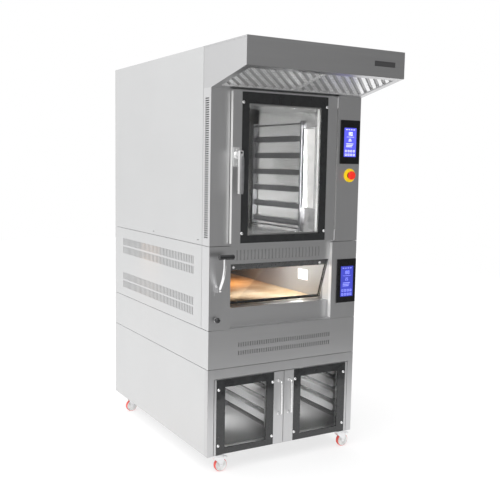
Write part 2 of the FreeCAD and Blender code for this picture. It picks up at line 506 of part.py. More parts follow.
def oven_inside():
    first, last = RACK_POST_Y
    pieces = []
    for wall, inward in ((CAVITY_LEFT, 1), (CAVITY_RIGHT, -1)):
        post_x = sorted((wall, wall + inward * RACK_POST))
        rail_x = sorted((wall, wall + inward * RACK_RAIL))
        for y in RACK_POST_Y:
            pieces.append(box(*post_x, y, y + RACK_POST, CAVITY_Z0, RACK_TOP))
        for z in RACK_LEVELS:
            pieces.append(box(*rail_x, first + RACK_POST, last, z - RACK_RAIL_HALF, z + RACK_RAIL_HALF))
    save("oven_tray_racks", pieces)

    baffle = box(CAVITY_LEFT + BAFFLE_MARGIN, CAVITY_RIGHT - BAFFLE_MARGIN, BAFFLE_Y, BAFFLE_Y + SHEET,
                 CAVITY_Z0, CAVITY_Z1)
    holes = []
    for ring_radius in BAFFLE_RINGS:
        count = max(1, int(2 * math.pi * ring_radius / BAFFLE_HOLE_PITCH))
        for index in range(count):
            angle = 2 * math.pi * index / count
            start = vec(FAN_X + ring_radius * math.cos(angle), BAFFLE_Y - 1,
                        FAN_Z + ring_radius * math.sin(angle))
            holes.append(rod(BAFFLE_HOLE, start, Y_AXIS, SHEET + 2))
    save("fan_baffle", cut_slots(baffle, holes))

    motor_y = CAVITY_BACK + CAVITY_WALL
    motor = rod(MOTOR_RADIUS, vec(FAN_X, motor_y, FAN_Z), Y_AXIS, MOTOR_LENGTH)
    motor = motor.cut(rod(FAN_SHAFT + PIN_CLEARANCE, vec(FAN_X, motor_y - 1, FAN_Z), Y_AXIS, MOTOR_BORE + 2))
    save("fan_motor", motor)
    shaft = rod(FAN_SHAFT, vec(FAN_X, FAN_HUB_Y, FAN_Z), Y_AXIS, motor_y + MOTOR_BORE - FAN_HUB_Y)
    disc = rod(FAN_DISC_RADIUS, vec(FAN_X, FAN_HUB_Y + BLADE_DEPTH, FAN_Z), Y_AXIS, FAN_DISC)
    blades = []
    for index in range(FAN_BLADES):
        blade = box(FAN_X + BLADE_INNER, FAN_X + BLADE_OUTER, FAN_HUB_Y, FAN_HUB_Y + BLADE_DEPTH,
                    FAN_Z - FAN_DISC / 2, FAN_Z + FAN_DISC / 2)
        blade.rotate(vec(FAN_X + BLADE_INNER, 0, FAN_Z), Y_AXIS, BLADE_SWEEP)
        blade.rotate(vec(FAN_X, 0, FAN_Z), Y_AXIS, 360 / FAN_BLADES * index)
        blades.append(blade)
    save("convection_fan", fuse(shaft, disc, *blades))

    oven_lamp = box(CAVITY_RIGHT - LAMP_THICKNESS, CAVITY_RIGHT, *OVEN_LAMP_Y, *OVEN_LAMP_Z)
    deck_lamp = box(CHAMBER_RIGHT - LAMP_THICKNESS, CHAMBER_RIGHT, *DECK_LAMP_Y, *DECK_LAMP_Z)
    save("chamber_lamps", [oven_lamp, deck_lamp])


def oven_gasket():
    x0, x1 = CAVITY_LEFT - GASKET_WIDTH, CAVITY_RIGHT + GASKET_WIDTH
    z0, z1 = CAVITY_Z0 - GASKET_WIDTH, CAVITY_Z1 + GASKET_WIDTH
    y0, y1 = FRONT - GASKET_PROUD, FRONT + SHEET
    save("oven_door_gasket", [box(x0, x1, y0, y1, z0, CAVITY_Z0), box(x0, x1, y0, y1, CAVITY_Z1, z1),
                              box(x0, CAVITY_LEFT, y0, y1, CAVITY_Z0, CAVITY_Z1),
                              box(CAVITY_RIGHT, x1, y0, y1, CAVITY_Z0, CAVITY_Z1)])


def oven_door():
    y0, y1 = OVEN_DOOR_FRONT, OVEN_DOOR_BACK
    glass_back = y0 + 6
    z0, z1 = OVEN_DOOR_Z0, OVEN_DOOR_Z1
    frame = [box(OVEN_DOOR_LEFT, PANE_LEFT, y0, y1, z0, z1),
             box(PANE_RIGHT, OVEN_DOOR_RIGHT, y0, y1, z0, z1),
             box(PANE_LEFT, PANE_RIGHT, glass_back, y1, z0, WINDOW_BOTTOM),
             box(PANE_LEFT, PANE_RIGHT, glass_back, y1, WINDOW_TOP, z1)]
    bore_depth = 22
    for bottom, bore_from in ((z0, z0 - 1), (z1 - BARREL_LENGTH, z1 - bore_depth + 1)):
        barrel = rod(BARREL_RADIUS, vec(OVEN_HINGE_X, OVEN_HINGE_Y, bottom), Z_AXIS, BARREL_LENGTH)
        start = vec(OVEN_HINGE_X, OVEN_HINGE_Y, bore_from)
        frame.append(barrel.cut(rod(OVEN_PIN + PIN_CLEARANCE, start, Z_AXIS, bore_depth)))
    save("oven_door_frame", frame)
    outer = box(PANE_LEFT, PANE_RIGHT, y0, glass_back, z0 + 2, z1 - 2)
    inner = box(PANE_LEFT, PANE_RIGHT, y1 - 6, y1 - 2, WINDOW_BOTTOM, WINDOW_TOP)
    save("oven_door_glass", [outer, inner])

    grip_back = y0 - HANDLE_BOSS
    boss = rod(HANDLE_BOSS_RADIUS, vec(HANDLE_PIVOT_X, grip_back, HANDLE_PIVOT_Z), Y_AXIS, HANDLE_BOSS)
    grip = box(HANDLE_PIVOT_X - LEVER_GRIP_HALF, HANDLE_PIVOT_X + LEVER_GRIP_HALF,
               grip_back - LEVER_GRIP_DEPTH, grip_back,
               HANDLE_PIVOT_Z - LEVER_GRIP_BELOW, HANDLE_PIVOT_Z + LEVER_GRIP_ABOVE)
    upright = [edge for edge in grip.Edges if edge.Length > LEVER_GRIP_BELOW]
    save("oven_handle", [boss, grip.makeFillet(6, upright)])


def oven_hinges():
    pieces = []
    for z, pin_z in ((OVEN_DOOR_Z0 - 8, OVEN_DOOR_Z0 - 2), (OVEN_DOOR_Z1 + 2, OVEN_DOOR_Z1 - 18)):
        bracket = box(OVEN_HINGE_X - 10, OVEN_RIGHT, OVEN_HINGE_Y - 10, FRONT, z, z + 6)
        tail = box(OVEN_HINGE_X - 10, OVEN_RIGHT, FRONT, FRONT + 4, z, z + 6)
        pin = rod(OVEN_PIN, vec(OVEN_HINGE_X, OVEN_HINGE_Y, pin_z), Z_AXIS, 20)
        pieces.append(fuse(bracket, tail, pin))
    return pieces


def controls():
    save("touchscreens", [box(x0, x1, FRONT - SCREEN_PROUD, FRONT, z0, z1)
                          for x0, x1, z0, z1 in (UPPER_SCREEN, LOWER_SCREEN)])
    base = fuse(rod(ESTOP_PLATE_RADIUS, vec(ESTOP_X, FRONT - 4, ESTOP_Z), Y_AXIS, 4),
                rod(16, vec(ESTOP_X, FRONT - 12, ESTOP_Z), Y_AXIS, 8))
    base = base.cut(rod(ESTOP_STEM_RADIUS + PIN_CLEARANCE, vec(ESTOP_X, FRONT - 20, ESTOP_Z), Y_AXIS, 30))
    save("estop_base", base)
    save("estop_button", fuse(rod(ESTOP_CAP_RADIUS, vec(ESTOP_X, FRONT - 32, ESTOP_Z), Y_AXIS, 14),
                              rod(ESTOP_STEM_RADIUS, vec(ESTOP_X, FRONT - 18, ESTOP_Z), Y_AXIS, 11)))


# ---- hood, top and rear -------------------------------------------------------------------
HOOD_FRONT = FRONT - HOOD_OVERHANG
HOOD_SLOPE = math.degrees(math.atan2(Z_HOOD_FRONT - Z_HOOD, HOOD_OVERHANG))
FILTER_BORDER = 35.0
PLATE_RECESS_X, PLATE_RECESS_Z = (285.0, 425.0), (2222.0, 2250.0)     # for a blank name plate
CONNECTION_X, DRAIN_RADIUS, WATER_RADIUS, GLAND_RADIUS = 330.0, 16.0, 13.2, 14.0
SPIGOT_Y = FRONT + 900.0
SPIGOT_RADIUS, SPIGOT_HEIGHT = 75.0, 50.0


def under_hood(x0, x1, u0, u1, n0, n1):
    """A box laid on the sloping underside: u runs down the slope from the front skin, n upwards."""
    drop = math.tan(math.radians(HOOD_SLOPE)) * SKIN
    shape = box(x0, x1, u0, u1, n0, n1)
    shape.rotate(vec(0, 0, 0), X_AXIS, -HOOD_SLOPE)
    shape.translate(vec(0, HOOD_FRONT + SKIN, Z_HOOD_FRONT - drop))
    return shape


def hood():
    profile = [(HOOD_FRONT, Z_HOOD_FRONT), (FRONT, Z_HOOD), (COLUMN_BACK, Z_HOOD),
               (COLUMN_BACK, Z_TOP), (HOOD_FRONT, Z_TOP)]
    inner = HALF_WIDTH - SKIN
    cheek = prism_x(profile, -HALF_WIDTH, -inner)
    face = box(-inner, inner, HOOD_FRONT, HOOD_FRONT + SKIN, Z_HOOD_FRONT, Z_TOP)
    face = face.cut(box(*PLATE_RECESS_X, HOOD_FRONT - 1, HOOD_FRONT + 1, *PLATE_RECESS_Z))
    roof = box(-inner, inner, HOOD_FRONT + SKIN, COLUMN_BACK, Z_TOP - SKIN, Z_TOP)
    sole = box(-inner, inner, FRONT + 1, COLUMN_BACK, Z_HOOD, Z_HOOD + SKIN)
    slope_length = (HOOD_OVERHANG - SKIN) / math.cos(math.radians(HOOD_SLOPE))
    side = inner - FILTER_BORDER
    ledges = [under_hood(-inner, -side, 0, slope_length, 0, 2),
              under_hood(side, inner, 0, slope_length, 0, 2),
              under_hood(-side, side, 0, FILTER_BORDER, 0, 2),
              under_hood(-side, side, slope_length - FILTER_BORDER, slope_length, 0, 2)]
    save("hood_shell", [cheek, mirrored(cheek), face, roof, sole] + ledges)
    overlap = 14.0
    left = under_hood(-side - overlap, -1, FILTER_BORDER - overlap,
                      slope_length - FILTER_BORDER + overlap, 2, 14)
    save("hood_filters", [left, mirrored(left)])


def top_and_rear():
    cover = box(-INNER, INNER, COLUMN_BACK, BACK_FACE, Z_TOP - SKIN, Z_TOP)
    cover = cover.cut(rod(SPIGOT_RADIUS - 2, vec(0, SPIGOT_Y, Z_TOP - 5), Z_AXIS, 10))
    save("top_cover", cover)
    tube = rod(SPIGOT_RADIUS, vec(0, SPIGOT_Y, Z_TOP), Z_AXIS, SPIGOT_HEIGHT)
    tube = tube.cut(rod(SPIGOT_RADIUS - 2, vec(0, SPIGOT_Y, Z_TOP - 1), Z_AXIS, SPIGOT_HEIGHT + 2))
    save("exhaust_spigot", tube)
    stub = BACK_INSET - 2
    save("rear_connections", [rod(DRAIN_RADIUS, vec(CONNECTION_X, BACK_FACE, 200), Y_AXIS, stub),
                              rod(WATER_RADIUS, vec(CONNECTION_X, BACK_FACE, 700), Y_AXIS, stub),
                              rod(GLAND_RADIUS, vec(-CONNECTION_X, BACK_FACE, 700), Y_AXIS, 24)])


base_frame()
casters()
proofer_shell()
proofer_tray_rails()
proofer_doors()
service_module()
module_decks()
back_panels()
deck_columns()
deck_panels()
deck_chamber()
deck_door()
deck_lever()
damper_knob()
oven_columns()
oven_body()
oven_inside()
oven_gasket()
oven_door()
save("door_hinge_brackets", proofer_hinges() + oven_hinges())
controls()
hood()
top_and_rear()
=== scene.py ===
import math

import bmesh
import bpy
from mathutils import Matrix, Vector


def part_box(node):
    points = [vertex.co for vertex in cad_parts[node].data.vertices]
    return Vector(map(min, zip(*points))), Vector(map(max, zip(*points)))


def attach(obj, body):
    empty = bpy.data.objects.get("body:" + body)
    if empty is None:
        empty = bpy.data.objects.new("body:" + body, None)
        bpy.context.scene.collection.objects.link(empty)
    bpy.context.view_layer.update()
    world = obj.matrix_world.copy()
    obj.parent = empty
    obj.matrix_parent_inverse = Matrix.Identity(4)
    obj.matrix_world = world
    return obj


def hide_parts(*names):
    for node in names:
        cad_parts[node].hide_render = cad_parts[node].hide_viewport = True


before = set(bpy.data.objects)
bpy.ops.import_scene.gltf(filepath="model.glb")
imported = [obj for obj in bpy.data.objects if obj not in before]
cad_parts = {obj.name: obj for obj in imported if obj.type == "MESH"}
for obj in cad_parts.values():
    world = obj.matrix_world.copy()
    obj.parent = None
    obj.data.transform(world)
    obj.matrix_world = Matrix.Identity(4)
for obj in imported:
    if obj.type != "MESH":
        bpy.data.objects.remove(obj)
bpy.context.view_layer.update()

# Metres, in the CAD frame: origin on the floor under the object, -Y out of the front, +Z up.
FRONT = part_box("vent_front_panel")[0][1]
BACK_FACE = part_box("back_panels")[1][1]
OVEN_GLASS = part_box("oven_door_glass")
DOOR_FACE = OVEN_GLASS[0][1]
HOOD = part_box("hood_shell")
PROOFER_LEVELS = [0.140 + 0.076 * level for level in range(1, 5)]
RACK_LEVELS = [1.354 + 0.1 * level for level in range(6)]
MM = 0.001
ORIGIN = (0, 0, 0)
OUTWARD = (0, -1, 0)
WHITE = (1, 1, 1)


# ---- materials
NOISE_RANGE = (0.3, 0.7)    # most values of a noise texture lie between these two
BRUSH_STRETCH = 520.0       # how much finer a brushed grain is across than along
STREAK_SHARE = 0.65         # weight of the streaks in a brushed colour; faint clouds have the rest
FINE_RELIEF = 0.0002        # metres


def set_inputs(node, **inputs):
    """Sets a node's inputs by name, with an underscore for each space."""
    for name, value in inputs.items():
        node.inputs[name.replace("_", " ")].default_value = value


def add_node(tree, kind, **inputs):
    node = tree.nodes.new("ShaderNode" + kind)
    set_inputs(node, **inputs)
    return node


def new_material(name, colour, metallic, roughness):
    material = bpy.data.materials.new(name)
    material.use_nodes = True
    shader = material.node_tree.nodes["Principled BSDF"]
    set_inputs(shader, Base_Color=(*colour, 1.0), Metallic=metallic, Roughness=roughness)
    return material, material.node_tree, shader


def noise(tree, scale, detail, stretch=(1, 1, 1)):
    coords = add_node(tree, "TexCoord")
    mapping = add_node(tree, "Mapping", Scale=[scale * factor for factor in stretch])
    texture = add_node(tree, "TexNoise", Scale=1.0, Detail=detail)
    tree.links.new(coords.outputs["Object"], mapping.inputs["Vector"])
    tree.links.new(mapping.outputs["Vector"], texture.inputs["Vector"])
    return texture.outputs["Fac"]


def spread(tree, source, low, high, target):
    """Drives an input between low and high by a noise."""
    span = add_node(tree, "MapRange", From_Min=NOISE_RANGE[0], From_Max=NOISE_RANGE[1],
                    To_Min=low, To_Max=high)
    span.interpolation_type = "SMOOTHERSTEP"
    tree.links.new(source, span.inputs["Value"])
    tree.links.new(span.outputs["Result"], target)


def tint(tree, shader, source, dark, light):
    """Colours a shader between dark and light by a noise."""
    ramp = add_node(tree, "ValToRGB")
    ramp.color_ramp.interpolation = "EASE"
    for stop, position, colour in zip(ramp.color_ramp.elements, NOISE_RANGE, (dark, light)):
        stop.position = position
        stop.color = (*colour, 1.0)
    tree.links.new(source, ramp.inputs["Fac"])
    tree.links.new(ramp.outputs["Color"], shader.inputs["Base Color"])


def bump(tree, shader, source, strength, distance=FINE_RELIEF):
    node = add_node(tree, "Bump", Strength=strength, Distance=distance)
    tree.links.new(source, node.inputs["Height"])
    tree.links.new(node.outputs["Normal"], shader.inputs["Normal"])


def shade(colour, factor):
    return [min(1.0, channel * factor) for channel in colour]


def brushed(name, colour, roughness, along, metallic=1.0, grain=0.07, relief=0.12):
    """Rolled sheet with a fine brushed grain along one axis and faint cloudiness."""
    material, tree, shader = new_material(name, colour, metallic, roughness)
    stretch = [1.0 if axis == along else BRUSH_STRETCH for axis in "xyz"]
    streaks = noise(tree, 2.6, 3.0, stretch)
    clouds = noise(tree, 2.2, 2.0)
    mix = add_node(tree, "Math")
    mix.operation = "MULTIPLY_ADD"
    mix.inputs[1].default_value = STREAK_SHARE
    scaled = add_node(tree, "Math")
    scaled.operation = "MULTIPLY"
    scaled.inputs[1].default_value = 1 - STREAK_SHARE
    tree.links.new(clouds, scaled.inputs[0])
    tree.links.new(streaks, mix.inputs[0])
    tree.links.new(scaled.outputs[0], mix.inputs[2])
    tint(tree, shader, mix.outputs[0], shade(colour, 1 - grain), shade(colour, 1 + grain))
    spread(tree, streaks, roughness - 0.05, roughness + 0.07, shader.inputs["Roughness"])
    bump(tree, shader, streaks, relief)
    set_inputs(shader, Anisotropic=0.35)
    return material


def moulded(name, colour, roughness, grain_scale=900.0, relief=0.15, coat=0.0, glow=0.0):
    """Moulded plastic or rubber with a fine grained surface; a glow above zero is painted light, the surface
    emitting its own colour.
    """
    material, tree, shader = new_material(name, colour, 0.0, roughness)
    grain = noise(tree, grain_scale, 2.0)
    wear = noise(tree, 30.0, 3.0)
    tint(tree, shader, wear, shade(colour, 0.88), shade(colour, 1.12))
    spread(tree, wear, roughness - 0.06, roughness + 0.08, shader.inputs["Roughness"])
    bump(tree, shader, grain, relief)
    set_inputs(shader, Coat_Weight=coat, Emission_Color=(*colour, 1.0), Emission_Strength=glow)
    return material


def polished(name, colour=(0.93, 0.93, 0.935), roughness=0.12, haze_scale=60.0, unevenness=0.3):
    material, tree, shader = new_material(name, colour, 1.0, roughness)
    haze = noise(tree, haze_scale, 2.0)
    tint(tree, shader, haze, shade(colour, 1 - unevenness / 5), shade(colour, 1.02))
    spread(tree, haze, roughness * (1 - unevenness), roughness * (1 + unevenness), shader.inputs["Roughness"])
    return material


def clear_glass(name, colour, low, high):
    """See-through pane: nearly clear when looked at squarely, more mirror-like at a grazing angle."""
    material, tree, shader = new_material(name, colour, 0.0, 0.04)
    facing = add_node(tree, "LayerWeight", Blend=0.35)
    smudges = noise(tree, 9.0, 3.0)
    span = add_node(tree, "MapRange", To_Min=low, To_Max=high)
    tree.links.new(facing.outputs["Fresnel"], span.inputs["Value"])
    tree.links.new(span.outputs["Result"], shader.inputs["Alpha"])
    spread(tree, smudges, 0.02, 0.07, shader.inputs["Roughness"])
    set_inputs(shader, Coat_Weight=1.0)
    return material


def glowing(name, colour, strength):
    """Lit surface, a little uneven, as behind a frosted cover."""
    material, tree, shader = new_material(name, colour, 0.0, 0.3)
    uneven = noise(tree, 14.0, 2.0)
    tint(tree, shader, uneven, shade(colour, 0.92), shade(colour, 1.0))
    set_inputs(shader, Emission_Color=(*colour, 1.0))
    spread(tree, uneven, strength * 0.9, strength * 1.1, shader.inputs["Emission Strength"])
    return material


def fired_stone(name):
    material, tree, shader = new_material(name, (0.62, 0.47, 0.3), 0.0, 0.85)
    patches = noise(tree, 5.0, 6.0)
    grit = noise(tree, 420.0, 3.0)
    tint(tree, shader, patches, (0.42, 0.27, 0.14), (0.74, 0.6, 0.42))
    bump(tree, shader, grit, 0.5, 0.0006)
    return material


# The next five are one stainless finish with different grain directions. Their base greys differ only to
# paint in how brightly each face is lit: painted light and painted shade.
STEEL = brushed("front_steel", (0.68, 0.68, 0.685), 0.33, "x", grain=0.025, relief=0.05)
STEEL_UPRIGHT = brushed("upright_steel", (0.66, 0.66, 0.665), 0.33, "z", grain=0.025, relief=0.05)
HOOD_STEEL = brushed("hood_steel", (0.58, 0.58, 0.585), 0.34, "x", grain=0.02, relief=0.05)
SIDE_STEEL = brushed("side_steel", (0.64, 0.643, 0.645), 0.40, "y", metallic=0.9, grain=0.025, relief=0.04)
PROOFER_STEEL = brushed("proofer_steel", (0.60, 0.60, 0.605), 0.35, "z", grain=0.02, relief=0.05)
LINER_STEEL = polished("liner_steel", (0.70, 0.70, 0.695), 0.22, 3.0, 0.15)
BAFFLE_STEEL = brushed("baffle_steel", (0.32, 0.32, 0.32), 0.5, "z", metallic=0.7, grain=0.03, relief=0.03)
# Lighter, less metallic steel for the cheeks of the deck opening: painted light.
CHEEK_STEEL = brushed("cheek_steel", (0.74, 0.74, 0.73), 0.4, "z", metallic=0.4, grain=0.02, relief=0.03)
DECK_LINER = brushed("deck_liner", (0.38, 0.38, 0.375), 0.42, "y", metallic=0.7, grain=0.04, relief=0.02)
# Near-black sheet for the proofer's inner walls: painted shade.
PAINTED_SHADE_LINER = brushed("painted_shade_liner", (0.045, 0.045, 0.045), 0.5, "y", metallic=0.5, grain=0.05, relief=0.02)
# Dark grey floor sheet for the proofer: painted shade.
SHADED_FLOOR_LINER = brushed("painted_shade_floor_liner", (0.22, 0.22, 0.22), 0.4, "y", metallic=0.7, grain=0.05, relief=0.02)
# Pale satin strips for sheet edges that catch the light: painted highlights.
HIGHLIGHT_TRIM = brushed("painted_highlight_trim", (0.92, 0.92, 0.91), 0.4, "z", metallic=0.2, grain=0.02, relief=0.03)
RACK_STEEL = brushed("rack_steel", (0.16, 0.16, 0.165), 0.35, "y", grain=0.06)
TRAY_STEEL = brushed("tray_rail_steel", (0.92, 0.92, 0.92), 0.33, "y", grain=0.04)
FILTER_STEEL = brushed("filter_steel", (0.96, 0.96, 0.96), 0.3, "x", metallic=0.6, grain=0.04)
# Darker steel for the channel faces of the baffles: painted shade in the grooves.
FILTER_CHANNEL_SHADE = brushed("filter_channel_painted_shade", (0.5, 0.5, 0.5), 0.45, "x", metallic=0.6)
CHROME = polished("polished_steel")
BRIGHT_BAR = polished("satin_bar", (0.88, 0.88, 0.88), 0.2)
SATIN = brushed("satin_chrome", (0.90, 0.90, 0.90), 0.20, "z", metallic=0.65, grain=0.03, relief=0.03)
ZINC = brushed("zinc_plate", (0.9, 0.9, 0.91), 0.38, "z", metallic=0.7, grain=0.05)
CASING = moulded("grey_casing", (0.2, 0.21, 0.22), 0.5)
STONE = fired_stone("fired_stone")
# Black silicone of the door gasket; the same black is painted shade in the slots on the sides.
SEAL_AND_SHADE_BLACK = moulded("silicone_seal_and_painted_shade", (0.025, 0.025, 0.025), 0.6, 600.0, 0.3)
BLACK_GLASS = moulded("black_glass_border", (0.022, 0.023, 0.024), 0.16, 900.0, 0.02, coat=0.4)
BLACK_PLASTIC = moulded("black_plastic", (0.02, 0.02, 0.022), 0.35, 700.0, 0.2)
GRIP_PLASTIC = moulded("grey_grip", (0.20, 0.20, 0.205), 0.4, 800.0, 0.3)
SCREEN_BLACK = moulded("screen_bezel", (0.003, 0.003, 0.004), 0.3, 900.0, 0.01)
# The yellow and red plastics glow a little: painted light, as the button is no lamp.
YELLOW = moulded("yellow_plastic", (0.95, 0.74, 0.02), 0.4, glow=0.3)
RED = moulded("red_plastic", (0.9, 0.03, 0.015), 0.3, coat=0.2, glow=0.35)
RED_TYRE = moulded("red_tread", (0.78, 0.10, 0.08), 0.5, 500.0, 0.3)
WHEEL_CORE = moulded("pale_wheel_core", (0.82, 0.82, 0.81), 0.4)
BRASS = brushed("brass", (0.78, 0.58, 0.27), 0.3, "y")
DARK_METAL = brushed("blackened_steel", (0.035, 0.035, 0.035), 0.5, "x", metallic=0.6)
DISPLAY = glowing("blue_display", (0.10, 0.105, 0.74), 0.8)
DISPLAY_DIM = glowing("dim_blue_display", (0.045, 0.055, 0.42), 0.75)
GLYPH = glowing("display_marks", (0.80, 0.82, 1.0), 1.0)
GLYPH_DIM = glowing("dim_display_marks", (0.30, 0.33, 0.85), 0.9)
OVEN_LAMP = glowing("oven_lamp_cover", (0.5, 0.495, 0.485), 1.05)
DECK_LAMP = glowing("deck_lamp_cover", (1.0, 0.95, 0.86), 1.2)
DOOR_PANE = clear_glass("door_pane", (0.02, 0.022, 0.022), 0.07, 0.5)
# Pale strip that glows: painted light on an edge of the oven's mouth.
GLOW_STRIP = moulded("painted_glow_strip", (0.85, 0.85, 0.84), 0.35, glow=0.4)
# Grey sheet behind slots: painted shade for the space seen through them.
GRILLE_SHADE_GREY = brushed("grille_shade_backing", (0.5, 0.5, 0.5), 0.5, "x", metallic=0.5)
PLAQUE = brushed("plaque_steel", (0.20, 0.20, 0.205), 0.34, "x")


# ---- mesh tools
SHARP_EDGE = math.radians(30)       # edges that turn more than this are rounded
SHARP_SHADE = math.radians(35)      # edges that turn more than this are shaded sharp


def near(point, x, y, z):
    """Position x, y and z millimetres away from a point."""
    return [start + step * MM for start, step in zip(point, (x, y, z))]


def at(x, y, z):
    """Position in millimetres, with y measured inward from the front face."""
    return near((0, FRONT, 0), x, y, z)


def in_mm(profile, across=1.0, along=1.0):
    """Lathe profile given in millimetres, with its radii and heights scaled."""
    return [(radius * MM * across, height * MM * along) for radius, height in profile]


def made(tool, *shape, **options):
    """New mesh with one shape in it, made by block, lathe, tube or window_ring."""
    mesh = bmesh.new()
    tool(mesh, *shape, **options)
    return mesh


def absorb(mesh, part, matrix=None):
    """Moves the geometry of part into mesh."""
    if matrix is not None:
        bmesh.ops.transform(part, matrix=matrix, verts=part.verts)
    holder = bpy.data.meshes.new("holder")
    part.to_mesh(holder)
    part.free()
    mesh.from_mesh(holder)
    bpy.data.meshes.remove(holder)


def soften(part, width, segments=2):
    if width > 0:
        sharp = [edge for edge in part.edges
                 if len(edge.link_faces) == 2 and edge.calc_face_angle() > SHARP_EDGE]
        bmesh.ops.bevel(part, geom=sharp, offset=width, segments=segments, profile=0.5,
                        affect="EDGES", clamp_overlap=True)


def block(mesh, low, high, bevel, matrix=None, segments=2):
    """Box between two corners, with its edges rounded by bevel."""
    part = bmesh.new()
    bmesh.ops.create_cube(part, size=1.0)
    low, high = Vector(low), Vector(high)
    size = high - low
    bmesh.ops.scale(part, vec=size, verts=part.verts)
    bmesh.ops.translate(part, vec=(low + high) / 2, verts=part.verts)
    soften(part, min(bevel, min(size) * 0.45), segments)
    absorb(mesh, part, matrix)


def wall_block(mesh, wall, inward, reach, y, z, bevel):
    """Block over a reach of millimetres inward from a wall, between two y and two z."""
    x = sorted(wall + inward * step * MM for step in reach)
    block(mesh, (x[0], y[0], z[0]), (x[1], y[1], z[1]), bevel)


def skin(part, rings):
    """Faces between each ring of vertices and the next; a ring may be a single point."""
    for first, second in zip(rings, rings[1:]):
        count = max(len(first), len(second))
        for step in range(count):
            following = (step + 1) % count
            loop = [first[step % len(first)], first[following % len(first)],
                    second[following % len(second)], second[step % len(second)]]
            corners = list(dict.fromkeys(loop))
            if len(corners) > 2:
                part.faces.new(corners)


def plate(mesh, outline, push, bevel, matrix=None):
    """Closed outline of 3-D points pushed along a vector."""
    part = bmesh.new()
    face = part.faces.new([part.verts.new(point) for point in outline])
    grown = bmesh.ops.extrude_face_region(part, geom=[face])
    moved = [item for item in grown["geom"] if isinstance(item, bmesh.types.BMVert)]
    bmesh.ops.translate(part, vec=push, verts=moved)
    bmesh.ops.recalc_face_normals(part, faces=part.faces)
    soften(part, bevel)
    absorb(mesh, part, matrix)


def window_ring(mesh, outer, inner, y0, y1, bevel):
    """Flat ring in the XZ plane: outer and inner are (x0, x1, z0, z1)."""
    part = bmesh.new()

    def corners(rectangle, y):
        x0, x1, z0, z1 = rectangle
        return [part.verts.new(point) for point in ((x0, y, z0), (x1, y, z0), (x1, y, z1), (x0, y, z1))]

    rings = [corners(outer, y0), corners(inner, y0), corners(inner, y1), corners(outer, y1)]
    skin(part, rings + rings[:1])
    bmesh.ops.recalc_face_normals(part, faces=part.faces)
    soften(part, bevel)
    absorb(mesh, part)


def axis_frame(axis):
    axis = Vector(axis).normalized()
    side = axis.cross(Vector((0, 0, 1)) if abs(axis.z) < 0.9 else Vector((1, 0, 0))).normalized()
    return axis, side, axis.cross(side)


def lathe(mesh, base, axis, profile, segments, closed=False, matrix=None):
    """Profile of (radius, height) points turned about an axis through base."""
    part = bmesh.new()
    base = Vector(base)
    axis, side, up = axis_frame(axis)
    rings = []
    for radius, height in profile:
        centre = base + axis * height
        if radius < 1e-6:
            rings.append([part.verts.new(centre)])
            continue
        rings.append([part.verts.new(centre + (side * math.cos(turn) + up * math.sin(turn)) * radius)
                      for turn in (2 * math.pi * step / segments for step in range(segments))])
    skin(part, rings + rings[:1] if closed else rings)
    bmesh.ops.recalc_face_normals(part, faces=part.faces)
    absorb(mesh, part, matrix)


def rounded_path(points, radius, steps):
    """Points of a polyline with its corners rounded by arcs."""
    points = [Vector(point) for point in points]
    path = [points[0]]
    for before, corner, after in zip(points, points[1:], points[2:]):
        inward, outward = (before - corner).normalized(), (after - corner).normalized()
        half = inward.angle(outward) / 2
        cut = min(radius / math.tan(half), (before - corner).length * 0.49, (after - corner).length * 0.49)
        start, end = corner + inward * cut, corner + outward * cut
        for step in range(steps + 1):
            share = step / steps
            path.append(start.lerp(corner, share).lerp(corner.lerp(end, share), share))
    return path + [points[-1]]


def tube(mesh, path, radius, segments=14, taper=None):
    """Round bar along a path; taper maps 0..1 along the path to a factor on the radius."""
    part = bmesh.new()
    path = [Vector(point) for point in path]
    _, side, _ = axis_frame(path[1] - path[0])
    rings = []
    for index, point in enumerate(path):
        ahead = path[min(index + 1, len(path) - 1)] - path[max(index - 1, 0)]
        axis = ahead.normalized()
        side = (side - axis * side.dot(axis)).normalized()
        up = axis.cross(side)
        size = radius * (taper(index / (len(path) - 1)) if taper else 1.0)
        rings.append([part.verts.new(point + (side * math.cos(turn) + up * math.sin(turn)) * size)
                      for turn in (2 * math.pi * step / segments for step in range(segments))])
    skin(part, rings)
    part.faces.new(rings[0][::-1])
    part.faces.new(rings[-1])
    bmesh.ops.recalc_face_normals(part, faces=part.faces)
    absorb(mesh, part)


def add_object(name, data):
    thing = bpy.data.objects.new(name, data)
    bpy.context.collection.objects.link(thing)
    return thing


def piece(name, mesh, material, body="cabinet", instead_of=()):
    """Turns the built geometry into a scene piece that rides on a body, by default the cabinet."""
    materials = material if isinstance(material, (list, tuple)) else [material]
    data = bpy.data.meshes.new(name)
    mesh.to_mesh(data)
    mesh.free()
    for entry in materials:
        data.materials.append(entry)
    data.shade_smooth()
    data.set_sharp_from_angle(angle=SHARP_SHADE)
    thing = add_object(name, data)
    flat_faces = thing.modifiers.new("flat_faces", "WEIGHTED_NORMAL")
    flat_faces.keep_sharp = True
    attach(thing, body)
    if instead_of:
        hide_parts(*instead_of)


